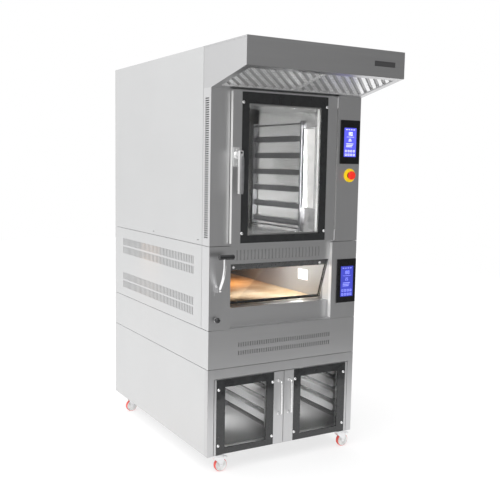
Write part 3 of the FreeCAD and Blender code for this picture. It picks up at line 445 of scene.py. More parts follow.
# ---- CAD nodes: finish and softened edges
FINISH = {
    STEEL: ["deck_vent_band", "deck_lower_panel", "vent_front_panel", "oven_front_flange",
            "base_frame", "module_decks"],
    STEEL_UPRIGHT: ["deck_columns", "oven_columns", "oven_door_frame", "door_hinge_brackets"],
    PROOFER_STEEL: ["proofer_front_frame", "proofer_door_left", "proofer_door_right"],
    HOOD_STEEL: ["hood_shell"],
    SIDE_STEEL: ["proofer_side_panels", "vent_side_panels", "deck_side_panels", "oven_side_panels",
                 "back_panels", "top_cover"],
    BAFFLE_STEEL: ["fan_baffle"],
    LINER_STEEL: ["oven_chamber", "proofer_divider", "exhaust_spigot", "convection_fan"],
    DECK_LINER: ["deck_chamber"],
    RACK_STEEL: ["deck_heating_elements"],
    ZINC: ["caster_plates"],
    CASING: ["control_box", "fan_motor"],
    STONE: ["deck_stone_floor"],
    SEAL_AND_SHADE_BLACK: ["oven_door_gasket"],
    YELLOW: ["estop_base"],
    BRASS: ["rear_connections"],
    DARK_METAL: ["deck_door_shaft"],
}
# Radius of the rounded edges, in millimetres.
EDGE = {"deck_columns": 2.0, "oven_columns": 2.0, "hood_shell": 1.0,
        "proofer_front_frame": 1.2, "proofer_door_left": 1.2, "proofer_door_right": 1.2,
        "oven_door_frame": 3.0, "deck_lower_panel": 1.5, "proofer_side_panels": 2.0,
        "vent_side_panels": 2.0, "oven_side_panels": 2.0, "back_panels": 2.0, "top_cover": 0.8,
        "door_hinge_brackets": 0.6, "base_frame": 2.0, "caster_plates": 0.8, "control_box": 3.0,
        "fan_motor": 3.0, "deck_stone_floor": 2.0, "oven_door_gasket": 2.0, "estop_base": 1.0,
        "rear_connections": 1.5}


def finish_cad_nodes():
    for material, names in FINISH.items():
        for name in names:
            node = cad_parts[name]
            node.data.materials.clear()
            node.data.materials.append(material)
            for polygon in node.data.polygons:
                polygon.material_index = 0
            width = EDGE.get(name, 0.0)
            if width:
                rounding = node.modifiers.new("edges", "BEVEL")
                rounding.width = width * MM
                rounding.segments = 2
                rounding.limit_method = "ANGLE"
                rounding.angle_limit = math.radians(40)


# ---- casters
CASTER_TRAIL = 26 * MM      # how far the wheel's axle lies behind the swivel's axis
AXLE_Z = 37.5 * MM
FORK_CHEEK = 14 * MM        # inner face of each fork leg, from the wheel's middle
AXLE_NUT = [(0, 0), (7, 0), (7, 3.4), (6, 4.2), (0, 4.2)]
PLATE_LENGTH = 76 * MM
PLATE_BOLT = [(0, 0), (4.5, 0), (4.5, 3), (3.5, 3.6), (0, 3.6)]


def leg_outline(side):
    y = side * FORK_CHEEK
    points = [(-19, 90), (44, 90), (46, 84), (45, 76), (38, 50)]
    points += [(26 + 10 * math.cos(turn), 37.5 + 10 * math.sin(turn))
               for turn in (math.radians(20 - 25 * step) for step in range(9))]
    points += [(13, 50), (-8, 70), (-18, 78)]
    return [(x * MM, y, z * MM) for x, z in points]


def caster(name, place, braked):
    fork = bmesh.new()
    crown = [(5.5, 83), (20, 83), (24, 84.5), (24, 88), (21.5, 89), (21.5, 90.2), (23.8, 91.4),
             (23.8, 94.2), (5.5, 94.2)]
    lathe(fork, ORIGIN, (0, 0, 1), in_mm(crown), 36, True, place)
    for side in (-1, 1):
        plate(fork, leg_outline(side), (0, side * 3 * MM, 0), 0.0009, place)
        lathe(fork, (CASTER_TRAIL, side * 17 * MM, AXLE_Z), (0, side, 0), in_mm(AXLE_NUT), 6, False, place)
        gusset = (0, side * FORK_CHEEK, 0)
        block(fork, near(gusset, -16, -1, 81), near(gusset, 30, 1, 84), 0.0006, place)
    piece("caster_fork_" + name + "_steel", fork, ZINC, "fork_" + name, ("caster_fork_" + name,))

    centre = (CASTER_TRAIL, 0, AXLE_Z)
    tread = [(33.5, -11), (35, -11.2), (36.4, -9.5), (37.3, -6), (37.5, 0), (37.3, 6), (36.4, 9.5),
             (35, 11.2), (33.5, 11)]
    tyre = made(lathe, centre, (0, 1, 0), in_mm(tread), 48, True, place)
    piece("caster_tyre_" + name, tyre, RED_TYRE, "wheel_" + name, ("caster_wheel_" + name,))
    core = bmesh.new()
    section = [(4.2, -12), (8.5, -12), (9.5, -9), (24, -7.5), (29, -11.5), (33.5, -12), (33.5, 12),
               (29, 11.5), (24, 7.5), (9.5, 9), (8.5, 12), (4.2, 12)]
    lathe(core, centre, (0, 1, 0), in_mm(section), 48, True, place)
    for angle in range(0, 360, 60):
        spoke = Matrix.Translation(centre) @ Matrix.Rotation(math.radians(angle), 4, "Y")
        block(core, near(ORIGIN, 9, -10.5, -1.5), near(ORIGIN, 28, 10.5, 1.5), 0.0006, place @ spoke)
    piece("caster_core_" + name, core, WHEEL_CORE, "wheel_" + name)
    if braked:
        brake_pedal(name, place)


def brake_pedal(name, place):
    pedal = bmesh.new()
    outline = [(32, 79), (47, 79), (58, 76.5), (68, 75.2), (68.3, 78), (60, 80.5), (50, 87), (34, 87)]
    plate(pedal, [(x * MM, -13.3 * MM, z * MM) for x, z in outline], (0, 26.6 * MM, 0), 0.0012, place)
    for offset in (-8, 0, 8):
        block(pedal, near(ORIGIN, 59, offset - 1.5, 79), near(ORIGIN, 67, offset + 1.5, 80.6), 0.0005, place)
    pin = [(0, 0), (3, 0), (3, 34), (0, 34)]
    lathe(pedal, near(ORIGIN, 39, -17, 83), (0, 1, 0), in_mm(pin), 16, False, place)
    piece("brake_lever_" + name, pedal, ZINC, "pedal_" + name, ("brake_pedal_" + name,))


def casters():
    for name in ("fl", "fr", "rl", "rr"):
        low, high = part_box("caster_wheel_" + name)
        trail = CASTER_TRAIL if name.startswith("f") else -CASTER_TRAIL
        swivel_x = (low[0] + high[0]) / 2 - trail
        place = Matrix.Translation((swivel_x, (low[1] + high[1]) / 2, 0))
        if trail < 0:
            place = place @ Matrix.Rotation(math.pi, 4, "Z")
        caster(name, place, name.startswith("f"))
    bolts = bmesh.new()
    low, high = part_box("caster_plates")
    for side in (-1, 1):
        for front_edge in (low[1], high[1] - PLATE_LENGTH):
            for x in (442, 398):
                for y in (10, 66):
                    lathe(bolts, (side * x * MM, front_edge + y * MM, 95 * MM), (0, 0, -1),
                          in_mm(PLATE_BOLT), 6)
    piece("caster_plate_bolts", bolts, ZINC)


# ---- glass doors
STUD = [(0, 0), (8.5, 0), (8.5, 1.2), (7.2, 3.4), (4.5, 4.8), (0, 5.2)]
OVEN_WINDOW = (-273 * MM, 193 * MM, 1315 * MM, 2018 * MM)       # x0, x1, z0, z1 of the clear glass
OVEN_STUD_LEVELS = (1.327, 2.023)
PROOFER_WINDOW_X = (116.5 * MM, 381 * MM)                       # distances from the cabinet's middle
PROOFER_WINDOW_Z = (141 * MM, 482 * MM)
BOW_ENDS = (0.283, 0.475)                                       # heights of a bow handle's two feet
BOW_FOOT = [(0, 0), (9.5, 0), (9.5, 1.5), (7, 3), (0, 3)]
HANDLE_AXIS = (-0.348, DOOR_FACE, 1.745)                        # where the oven door's handle turns
GRIP_LENGTH = 200


def studs(name, places, body):
    mesh = bmesh.new()
    for place in places:
        lathe(mesh, place, OUTWARD, in_mm(STUD), 24)
    piece(name, mesh, CHROME, body)


def framed_pane(name, low, high, window, thickness, body, node):
    """Glass with a printed black border: a black ring round the clear part of the pane."""
    outer = (low[0], high[0], low[2], high[2])
    ring = made(window_ring, outer, window, low[1], low[1] + thickness, 0.0009)
    piece(name + "_border", ring, BLACK_GLASS, body, (node,))
    x0, x1, z0, z1 = window
    pane = made(block, (x0, low[1] + 0.4 * MM, z0), (x1, low[1] + thickness - 0.4 * MM, z1), 0.0003)
    piece(name + "_pane", pane, DOOR_PANE, body)


def oven_door():
    low, high = OVEN_GLASS
    x0, x1, z0, z1 = OVEN_WINDOW
    framed_pane("oven_door_outer", low, high, OVEN_WINDOW, 6 * MM, "oven_door", "oven_door_glass")
    inner = made(block, (low[0], high[1] - 4 * MM, z0), (high[0], high[1], z1), 0.0003)
    piece("oven_door_inner_pane", inner, DOOR_PANE, "oven_door")
    studs("oven_door_studs", [(x, DOOR_FACE, z) for x in (low[0] + 8 * MM, high[0] - 8 * MM)
                              for z in OVEN_STUD_LEVELS], "oven_door")
    spacer = made(window_ring, (x0 - 14 * MM, x1 + 14 * MM, z0 - 0.1 * MM, z1 + 0.1 * MM),
                  (x0, x1, z0 + 8 * MM, z1 - 8 * MM), DOOR_FACE + 6.2 * MM, high[1] - 4.2 * MM, 0.0008)
    piece("oven_door_spacer", spacer, LINER_STEEL, "oven_door")


def squared_off(value):
    """Bends a sine or cosine so that the circle they draw becomes a rounded square."""
    return math.copysign(abs(value) ** 0.6, value)


def oven_handle():
    x, y, z = HANDLE_AXIS
    rose = bmesh.new()
    block(rose, near(HANDLE_AXIS, -20, -3.5, -60), near(HANDLE_AXIS, 20, 0, 40), 0.003, segments=4)
    for dz in (-48, 28):
        lathe(rose, near(HANDLE_AXIS, 0, -3.5, dz), OUTWARD, in_mm(STUD, 0.6, 0.5), 20)
    piece("oven_handle_rose", rose, SATIN, "oven_door")
    neck = bmesh.new()
    boss = [(0, 3.6), (21, 3.6), (21, 8), (17, 12), (15, 20), (15, 38), (13, 40), (0, 40)]
    lathe(neck, HANDLE_AXIS, OUTWARD, in_mm(boss), 36)
    block(neck, near(HANDLE_AXIS, -15, -54, -70), near(HANDLE_AXIS, 13, -38, 23), 0.005, segments=4)
    block(neck, near(HANDLE_AXIS, -15, -57, -204), near(HANDLE_AXIS, -4, -40, -60), 0.003, segments=3)
    piece("oven_handle_neck", neck, SATIN, "oven_handle", ("oven_handle",))
    grip = bmesh.new()
    steps, sides = 14, 28
    rings = []
    for step in range(steps + 1):
        share = step / steps
        height = z - 5 * MM - share * GRIP_LENGTH * MM
        swell = 1.0 - 0.10 * math.cos(math.pi * share) ** 2 - (0.25 if step in (0, steps) else 0.0)
        half_width, half_depth = 9.5 * MM * swell, 10.5 * MM * swell
        rings.append([grip.verts.new((x + 5.5 * MM + half_width * squared_off(math.cos(turn)),
                                      y - 51 * MM + half_depth * squared_off(math.sin(turn)), height))
                      for turn in (2 * math.pi * index / sides for index in range(sides))])
    skin(grip, rings)
    grip.faces.new(rings[0])
    grip.faces.new(rings[-1])
    bmesh.ops.recalc_face_normals(grip, faces=grip.faces)
    piece("oven_handle_grip", grip, GRIP_PLASTIC, "oven_handle")
    head = [(0, 0), (6, 0), (6, 1.5), (4.5, 2.4), (0, 2.4)]
    screw = made(lathe, near(HANDLE_AXIS, 0, -53.5, 12), OUTWARD, in_mm(head), 24)
    piece("oven_handle_set_screw", screw, BLACK_PLASTIC, "oven_handle")


def proofer_doors():
    for side, name in ((-1, "left"), (1, "right")):
        node = "proofer_glass_" + name
        body = "proofer_door_" + name
        low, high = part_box(node)
        x0, x1 = sorted(side * x for x in PROOFER_WINDOW_X)
        framed_pane("proofer_" + name, low, high, (x0, x1, *PROOFER_WINDOW_Z), 5 * MM, body, node)
        studs("proofer_studs_" + name, [(side * x, low[1], z) for x in (0.076, 0.422)
                                        for z in (0.155, 0.471)], body)
        bow = bmesh.new()
        x = side * 34 * MM
        bar_y = FRONT - 32 * MM
        foot, top = BOW_ENDS
        path = [(x, FRONT, foot), (x, bar_y, foot), (x, bar_y, top), (x, FRONT, top)]
        tube(bow, rounded_path(path, 20 * MM, 9), 6 * MM, 18)
        for z in BOW_ENDS:
            lathe(bow, (x, FRONT, z), OUTWARD, in_mm(BOW_FOOT), 24)
        piece("proofer_bow_" + name, bow, BRIGHT_BAR, body, ("proofer_handle_" + name,))


# ---- deck oven
SHAFT = at(0, 42, 1160)
DOOR_LEAN = math.radians(18.2)
TILT = Matrix.Translation(SHAFT) @ Matrix.Rotation(DOOR_LEAN, 4, "X")
LEVER_PIVOT = (-0.435, FRONT - 16 * MM, 1.025)
LEVER_HUB = [(5.1, 0), (10, 0), (11, 1), (11, 13.8), (10, 14.8), (5.1, 14.8)]
LEVER_END_Y, LEVER_END_Z = FRONT - 68 * MM, 1.208
BALL_RADIUS, BALL_CENTRE = 15, 18       # damper knob, millimetres, the centre ahead of the front


def leaning(mesh, x0, x1, y, z, bevel, segments=2):
    """Block in the deck door's frame; y and z are ranges in millimetres from its shaft."""
    block(mesh, (x0, y[0] * MM, z[0] * MM), (x1, y[1] * MM, z[1] * MM), bevel, TILT, segments)


def deck_door():
    x0, x1 = (corner[0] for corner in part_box("deck_door_glass"))
    border = bmesh.new()
    leaning(border, x0, x1, (-5.5, -1), (-41, -2), 0.0012)
    leaning(border, x0, x1, (-6.5, 4.5), (-256, -240), 0.003, 3)
    for x in (x0, x1 - 7 * MM):
        leaning(border, x, x + 7 * MM, (-4.6, 4.2), (-242, -39), 0.001)
    piece("deck_door_black_edges", border, BLACK_GLASS, "deck_door")
    pane = bmesh.new()
    leaning(pane, x0 + 7 * MM, x1 - 7 * MM, (-3.5, 3.5), (-240, -8), 0.0003)
    piece("deck_door_pane", pane, DOOR_PANE, "deck_door", ("deck_door_glass",))
    fixings = bmesh.new()
    for x in (x0 + 36 * MM, x1 - 50 * MM):
        lathe(fixings, (x, -5.5 * MM, -24 * MM), OUTWARD, in_mm(STUD), 24, False, TILT)
    piece("deck_door_studs", fixings, CHROME, "deck_door")
    jambs = bmesh.new()
    for left, right in ((x1 + 1 * MM, x1 + 5 * MM), (x0 - 5 * MM, x0 - 1 * MM)):
        leaning(jambs, left, right, (-14, -3), (-252, 4), 0.0012)
    piece("deck_door_jambs", jambs, CHROME)


def column_trims():
    """Pale returns of the sheet edges, beside the deck oven's opening and along the oven door, whose pale
    colour is a painted highlight; the cheeks of the opening get a lighter, less metallic steel, which is
    painted light.
    """
    strips = bmesh.new()
    block(strips, at(312.6, 0.6, 812), at(313.9, 26, 1252), 0.0004)
    block(strips, at(331.2, 0.6, 1266), at(331.9, 11.5, 2084), 0.0003)
    piece("column_edge_highlight_strips", strips, HIGHLIGHT_TRIM)
    cheeks = bmesh.new()
    for x0, x1 in ((313.2, 313.9), (-359.9, -359.2)):
        block(cheeks, at(x0, 27, 913), at(x1, 85.5, 1153), 0.0003)
    piece("deck_opening_cheeks", cheeks, CHEEK_STEEL)
    low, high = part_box("oven_door_frame")
    edge = made(block, near(low, -0.5, 2, 2), near((low[0], *high[1:]), 0.5, -2, -2), 0.0002)
    piece("oven_door_edge_highlight", edge, HIGHLIGHT_TRIM, "oven_door")


def deck_controls():
    x, y, z = LEVER_PIVOT
    arm = bmesh.new()
    lathe(arm, (x - 7.4 * MM, y, z), (1, 0, 0), in_mm(LEVER_HUB), 32, True)
    start, end = Vector((x, y - 4 * MM, z + 6 * MM)), Vector((x, LEVER_END_Y, LEVER_END_Z))
    crest = Vector((x, FRONT - 88 * MM, z + 96 * MM))
    path = [start.lerp(crest, t).lerp(crest.lerp(end, t), t) for t in (step / 24 for step in range(25))]
    tube(arm, path, 7.6 * MM, 18, lambda share: 1.1 - 0.25 * share)
    piece("deck_lever_arm", arm, CHROME, "deck_lever", ("deck_lever",))
    half = 44 * MM
    profile = [(0, -half), (11 * MM, -half), (13 * MM, -half + 2 * MM), (13.4 * MM, -half + 6 * MM)]
    for groove in range(5):
        height = -half + (20 + 12 * groove) * MM
        profile += [(12.9 * MM, height - 2 * MM), (12.0 * MM, height), (12.9 * MM, height + 2 * MM)]
    profile += [(13.4 * MM, half - 6 * MM), (13 * MM, half - 2 * MM), (11 * MM, half), (0, half)]
    grip = made(lathe, (-0.422, LEVER_END_Y, LEVER_END_Z), (1, 0, 0), profile, 32)
    piece("deck_lever_grip", grip, BLACK_PLASTIC, "deck_lever")
    low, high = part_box("damper_knob")
    knob_x, knob_z = (low[0] + high[0]) / 2, (low[2] + high[2]) / 2
    ball = bmesh.new()
    round_part = [(BALL_RADIUS * math.sin(turn), BALL_CENTRE - BALL_RADIUS * math.cos(turn))
                  for turn in (math.pi * step / 16 for step in range(2, 15))]
    lathe(ball, (knob_x, FRONT, knob_z), OUTWARD, in_mm([(0, 3), *round_part, (0, 33)]), 32)
    tube(ball, [(knob_x, FRONT - 4 * MM, knob_z), (knob_x, FRONT + 72 * MM, knob_z)], 3.9 * MM)
    piece("damper_ball", ball, BLACK_PLASTIC, "damper_knob", ("damper_knob",))
    section = [(4.4, 0), (13, 0), (13, 1), (9, 2.6), (4.4, 2.6)]
    collar = made(lathe, (knob_x, FRONT, knob_z), OUTWARD, in_mm(section), 28, True)
    piece("damper_collar", collar, CHROME)


def grille_shade_backings():
    """Grey plates a little behind the slotted panels, as seen through their slots: painted shade for the
    space behind them.
    """
    grey = bmesh.new()
    block(grey, at(-355, 32.5, 1168), at(309, 34.5, 1258), 0.0005)
    block(grey, at(-320, 7, 640), at(325, 9, 736), 0.0005)
    for x0, x1 in ((-485, -483), (483, 485)):
        for z0, z1 in ((855, 965), (1085, 1196)):
            block(grey, at(x0, 185, z0), at(x1, 1264, z1), 0.0005)
    piece("grille_shade_backings", grey, GRILLE_SHADE_GREY)


def deck_lamp_and_oven_lamp():
    lamp = made(block, at(309, 240, 997), at(311.8, 342, 1060), 0.0013)
    piece("deck_lamp", lamp, DECK_LAMP, "cabinet", ("chamber_lamps",))
    cover = made(block, at(222, 70, 1450), at(229.8, 177, 1908), 0.0035, segments=3)
    piece("oven_lamp_cover", cover, OVEN_LAMP)
    rim = bmesh.new()
    for y0, y1, z0, z1 in ((64, 70, 1444, 1914), (177, 183, 1444, 1914),
                           (70, 177, 1444, 1450), (70, 177, 1908, 1914)):
        block(rim, at(220, y0, z0), at(230, y1, z1), 0.001)
    piece("oven_lamp_rim", rim, CHROME)


# ---- operator panels
SEGMENTS = {"0": "abcdef", "1": "bc", "2": "abged", "5": "afgcd", "8": "abcdefg"}
BEZEL_DEPTH = 6             # millimetres
MARK_DEPTH = 0.3 * MM
MUSHROOM = [(0, 7), (8, 7), (8, 17.6), (17, 18), (23.5, 18.5), (25, 20), (25, 24), (23.5, 28),
            (19, 30.5), (12, 31.7), (0, 32)]
STOP_COLLAR = [(16.2, 4), (19, 4), (19, 7), (16.2, 8.5)]


def digit(mesh, symbol, x, y, z, size):
    """Seven-bar figure, size tall, lower left corner at x, z."""
    width, thick = size * 0.5, size * 0.13
    bars = {"a": (0, size - thick, width, size), "d": (0, 0, width, thick),
            "g": (0, (size - thick) / 2, width, (size + thick) / 2),
            "b": (width - thick, size / 2, width, size), "c": (width - thick, 0, width, size / 2),
            "f": (0, size / 2, thick, size), "e": (0, 0, thick, size / 2)}
    for bar in SEGMENTS[symbol]:
        x0, z0, x1, z1 = bars[bar]
        block(mesh, (x + x0, y - MARK_DEPTH, z + z0), (x + x1, y, z + z1), 0)


def number(mesh, text, centre_x, y, z, size):
    step = size * 0.68
    x = centre_x - step * len(text) / 2
    for symbol in text:
        digit(mesh, symbol, x, y, z, size)
        x += step


def touch_screen(name, x0, x1, z0, z1, display, lit, marked, instead_of=()):
    bezel = made(block, at(x0, -BEZEL_DEPTH, z0), at(x1, 0, z1), 0.0025, segments=3)
    piece(name + "_bezel", bezel, SCREEN_BLACK, "cabinet", instead_of)
    left, right, bottom, top = [value * MM for value in display]
    width, height = right - left, top - bottom
    face = FRONT - 6.5 * MM
    panel = made(block, (left, face, bottom), (right, FRONT - BEZEL_DEPTH * MM, top), 0.0002)
    piece(name + "_display", panel, lit)
    marks = bmesh.new()
    middle = (left + right) / 2

    def bar(x0, x1, z0, z1):
        """Bar given by shares of the display's width and height."""
        block(marks, (left + width * x0, face - MARK_DEPTH, bottom + height * z0),
              (left + width * x1, face, bottom + height * z1), 0)

    for x in (0.14, 0.34, 0.54, 0.74):
        bar(x, x + 0.12, 0.925, 0.95)
    number(marks, "180", middle, face, bottom + height * 0.74, height * 0.11)
    bar(0.2, 0.8, 0.68, 0.69)
    number(marks, "25", middle, face, bottom + height * 0.53, height * 0.09)
    for low, high in ((0.44, 0.46), (0.39, 0.41), (0.34, 0.36)):
        bar(0.18, 0.30 + high, low, high)
    for row in (0.07, 0.2):
        for column in range(4):
            x = left + width * (0.17 + 0.22 * column)
            z = bottom + height * row
            window_ring(marks, (x - width * 0.07, x + width * 0.07, z - height * 0.035, z + height * 0.035),
                        (x - width * 0.045, x + width * 0.045, z - height * 0.02, z + height * 0.02),
                        face - MARK_DEPTH, face, 0)
    piece(name + "_marks", marks, marked)


def operator_panels():
    touch_screen("upper_screen", 348, 485, 1709, 1960, (371, 458, 1750, 1916), DISPLAY, GLYPH,
                 ("touchscreens",))
    touch_screen("lower_screen", 351, 488, 894, 1153, (377, 467, 930, 1110), DISPLAY_DIM, GLYPH_DIM)
    low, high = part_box("estop_button")
    x, z = (low[0] + high[0]) / 2, (low[2] + high[2]) / 2
    cap = made(lathe, (x, FRONT, z), OUTWARD, in_mm(MUSHROOM), 40)
    piece("estop_mushroom", cap, RED, "estop_button", ("estop_button",))
    collar = made(lathe, (x, FRONT, z), OUTWARD, in_mm(STOP_COLLAR), 40, True)
    piece("estop_collar", collar, BLACK_PLASTIC)


# ---- hood
SLOPE = math.atan2(78.0, 363.0)     # the underside falls 78 mm over the hood's 363 mm
SKIN = 3 * MM
LIP_Z = 2.168                       # underside at the front lip
UNDERSIDE = (Matrix.Translation((0, HOOD[0][1] + SKIN, LIP_Z - math.tan(SLOPE) * SKIN))
             @ Matrix.Rotation(-SLOPE, 4, "X"))
WAVE_STEPS = 8                      # grid steps in one pitch of the baffles
WAVE_PITCH = 54 * MM
WAVE_DEPTH = 9 * MM
FILTER_LENGTH = 312 * MM


def baffle_height(phase):
    """Height of the baffle wave, 0..1, over one pitch: broad bars with narrow deep channels."""
    phase = phase % 1.0
    if phase < 0.5:
        return 0.0
    if phase < 0.625:
        return (phase - 0.5) / 0.125
    if phase < 0.875:
        return 1.0
    return (1.0 - phase) / 0.125


def baffle_filter(name, x0, x1, instead_of=()):
    """Grease filter: a frame round diagonal baffles, lying in the sloping underside."""
    step = WAVE_PITCH / WAVE_STEPS
    u0, columns, rows = 28 * MM, int((x1 - x0) / step), int(FILTER_LENGTH / step)
    mesh = bmesh.new()
    grid = []
    for row in range(rows + 1):
        grid.append([])
        for column in range(columns + 1):
            height = SKIN + WAVE_DEPTH * baffle_height((column - row) / WAVE_STEPS)
            point = UNDERSIDE @ Vector((x0 + column * step, u0 + row * step, height))
            grid[row].append(mesh.verts.new(point))
    for row in range(rows):
        for column in range(columns):
            a, b = grid[row][column], grid[row][column + 1]
            c, d = grid[row + 1][column + 1], grid[row + 1][column]
            for corners, offset in (((a, b, c), 2 / 3), ((a, c, d), -2 / 3)):
                face = mesh.faces.new(corners)
                height = baffle_height((column - row + offset) / WAVE_STEPS)
                # Faces deep in the channels take the darker steel: painted shade.
                face.material_index = 1 if height > 0.3 else 0
    piece(name + "_baffles", mesh, [FILTER_STEEL, FILTER_CHANNEL_SHADE], "cabinet", instead_of)
    rim = bmesh.new()
    u1 = u0 + rows * step
    x1 = x0 + columns * step
    for low, high in (((x0, u0), (x1, u0 + 12 * MM)), ((x0, u1 - 12 * MM), (x1, u1)),
                      ((x0, u0), (x0 + 10 * MM, u1)), ((x1 - 10 * MM, u0), (x1, u1))):
        block(rim, (*low, 2.1 * MM), (*high, 13 * MM), 0.0012, UNDERSIDE)
    piece(name + "_rim", rim, FILTER_STEEL)


def hood():
    baffle_filter("filter_left", -460 * MM, -1 * MM, ("hood_filters",))
    baffle_filter("filter_right", 1 * MM, 460 * MM)
    trims = bmesh.new()
    (left, lip, _), (right, _, top) = HOOD
    block(trims, (left, lip, 2.1665), (right, lip + 22 * MM, 2.1675), 0.0004)
    for x in (left, right - 1.2 * MM):
        block(trims, (x, lip + 1 * MM, top - 9 * MM), (x + 1.2 * MM, FRONT + 80 * MM, top - 8 * MM), 0.0003)
    piece("hood_hems", trims, CHROME)
    plaque = made(block, (0.2855, lip + 0.15 * MM, 2.2225), (0.4245, lip + 0.95 * MM, 2.2495), 0.0003)
    piece("blank_plaque", plaque, PLAQUE)


# ---- tray supports
SUPPORT_NOSE = 20 * MM      # radius of the round front end of a support
SUPPORT_REACH = 40          # from the wall, millimetres, as are the next three
PROOFER_POST = 26
RACK_CHANNEL = 26
RACK_POST = 16


def proofer_rails():
    """Pressed tray supports with round front ends, between slotted uprights."""
    low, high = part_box("proofer_tray_rails")
    rails = bmesh.new()
    uprights = bmesh.new()
    # Near-black sheets on the walls and backs of the compartments stand for the shade inside: painted shade.
    shade_plates = bmesh.new()
    y0, y1 = low[1] + 30 * MM, high[1] - 30 * MM
    for wall, inward in ((low[0], 1), (-8 * MM, -1), (8 * MM, 1), (high[0], -1)):
        wall_block(shade_plates, wall, inward, (0, 1), (low[1] - 10 * MM, high[1]), (low[2], high[2]), 0.0003)
        for y in (low[1], y1):
            wall_block(uprights, wall, inward, (0, PROOFER_POST), (y, y + 22 * MM),
                       (low[2] + 1 * MM, high[2] - 1 * MM), 0.002)
        for z in PROOFER_LEVELS:
            outline = [(wall, y1, z - 23 * MM), (wall, y1, z + 23 * MM)]
            for side, turns in ((1, range(90, -1, -15)), (-1, range(15, 91, 15))):
                outline += [(wall, y0 + SUPPORT_NOSE - SUPPORT_NOSE * math.cos(turn),
                             z + side * 3 * MM + side * SUPPORT_NOSE * math.sin(turn))
                            for turn in map(math.radians, turns)]
            plate(rails, outline, (inward * SUPPORT_REACH * MM, 0, 0), 0.004)
    piece("proofer_tray_supports", rails, TRAY_STEEL, "cabinet", ("proofer_tray_rails",))
    piece("proofer_uprights", uprights, RACK_STEEL)
    # Dark grey floor plates in the compartments: painted shade.
    floors = bmesh.new()
    for x0, x1 in ((low[0], -8 * MM), (8 * MM, high[0])):
        block(floors, (x0, low[1] - 40 * MM, low[2]), (x1, high[1], low[2] + 1 * MM), 0.0003)
        block(shade_plates, (x0, high[1] - 1 * MM, low[2]), (x1, high[1], high[2]), 0.0003)
    piece("proofer_shade_plates", shade_plates, PAINTED_SHADE_LINER)
    piece("proofer_floors", floors, SHADED_FLOOR_LINER)


def rack_details():
    low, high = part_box("oven_tray_racks")
    rails = bmesh.new()
    uprights = bmesh.new()
    y0, y1 = low[1] + RACK_POST * MM, high[1] - RACK_POST * MM
    for side in ((low[0], 1), (high[0], -1)):
        for z in RACK_LEVELS:
            for dz in (-17 * MM, 15 * MM):
                wall_block(rails, *side, (0, RACK_CHANNEL), (y0, y1), (z + dz, z + dz + 2 * MM), 0.0006)
            wall_block(rails, *side, (2, 5), (y0, y1), (z - 16 * MM, z + 16 * MM), 0.0006)
        for y in (low[1], y1):
            wall_block(uprights, *side, (0, RACK_POST), (y, y + RACK_POST * MM),
                       (low[2] + 4 * MM, high[2] - 2 * MM), 0.0015)
        for z in (low[2] + 14 * MM, high[2] - 22 * MM):
            wall_block(uprights, *side, (0, 14), (low[1] + 15 * MM, high[1] - 15 * MM),
                       (z, z + 8 * MM), 0.001)
    piece("oven_rack_channels", rails, RACK_STEEL, "cabinet", ("oven_tray_racks",))
    piece("oven_rack_uprights", uprights, RACK_STEEL)
    # Glowing strip inside the oven's mouth: painted light.
    strip = made(block, at(226, 8, 1302), at(229.8, 60, 2028), 0.0015)
    piece("oven_mouth_glow_strip", strip, GLOW_STRIP)
    edging = made(window_ring, (-0.318, 0.238, 1.292, 2.038), (-0.310, 0.230, 1.300, 2.030),
                  FRONT - 1.2 * MM, FRONT + 3.8 * MM, 0.0004)
    piece("oven_mouth_edge", edging, CHROME)


# ---- sides and back
SCREW = [(0, 0), (5.5, 0), (5.5, 0.6), (4, 1.5), (0, 1.8)]
SCREW_SPACING = 0.22
LOUVRE = [(0, 0), (9, 0), (7, 4), (0, 16)]
LOUVRE_PITCH = 26
FLANGE = [(75, 0), (96, 0), (96, 1.4), (77, 2), (76, 8), (75, 8)]
FLANGE_SCREW_RADIUS = 0.087


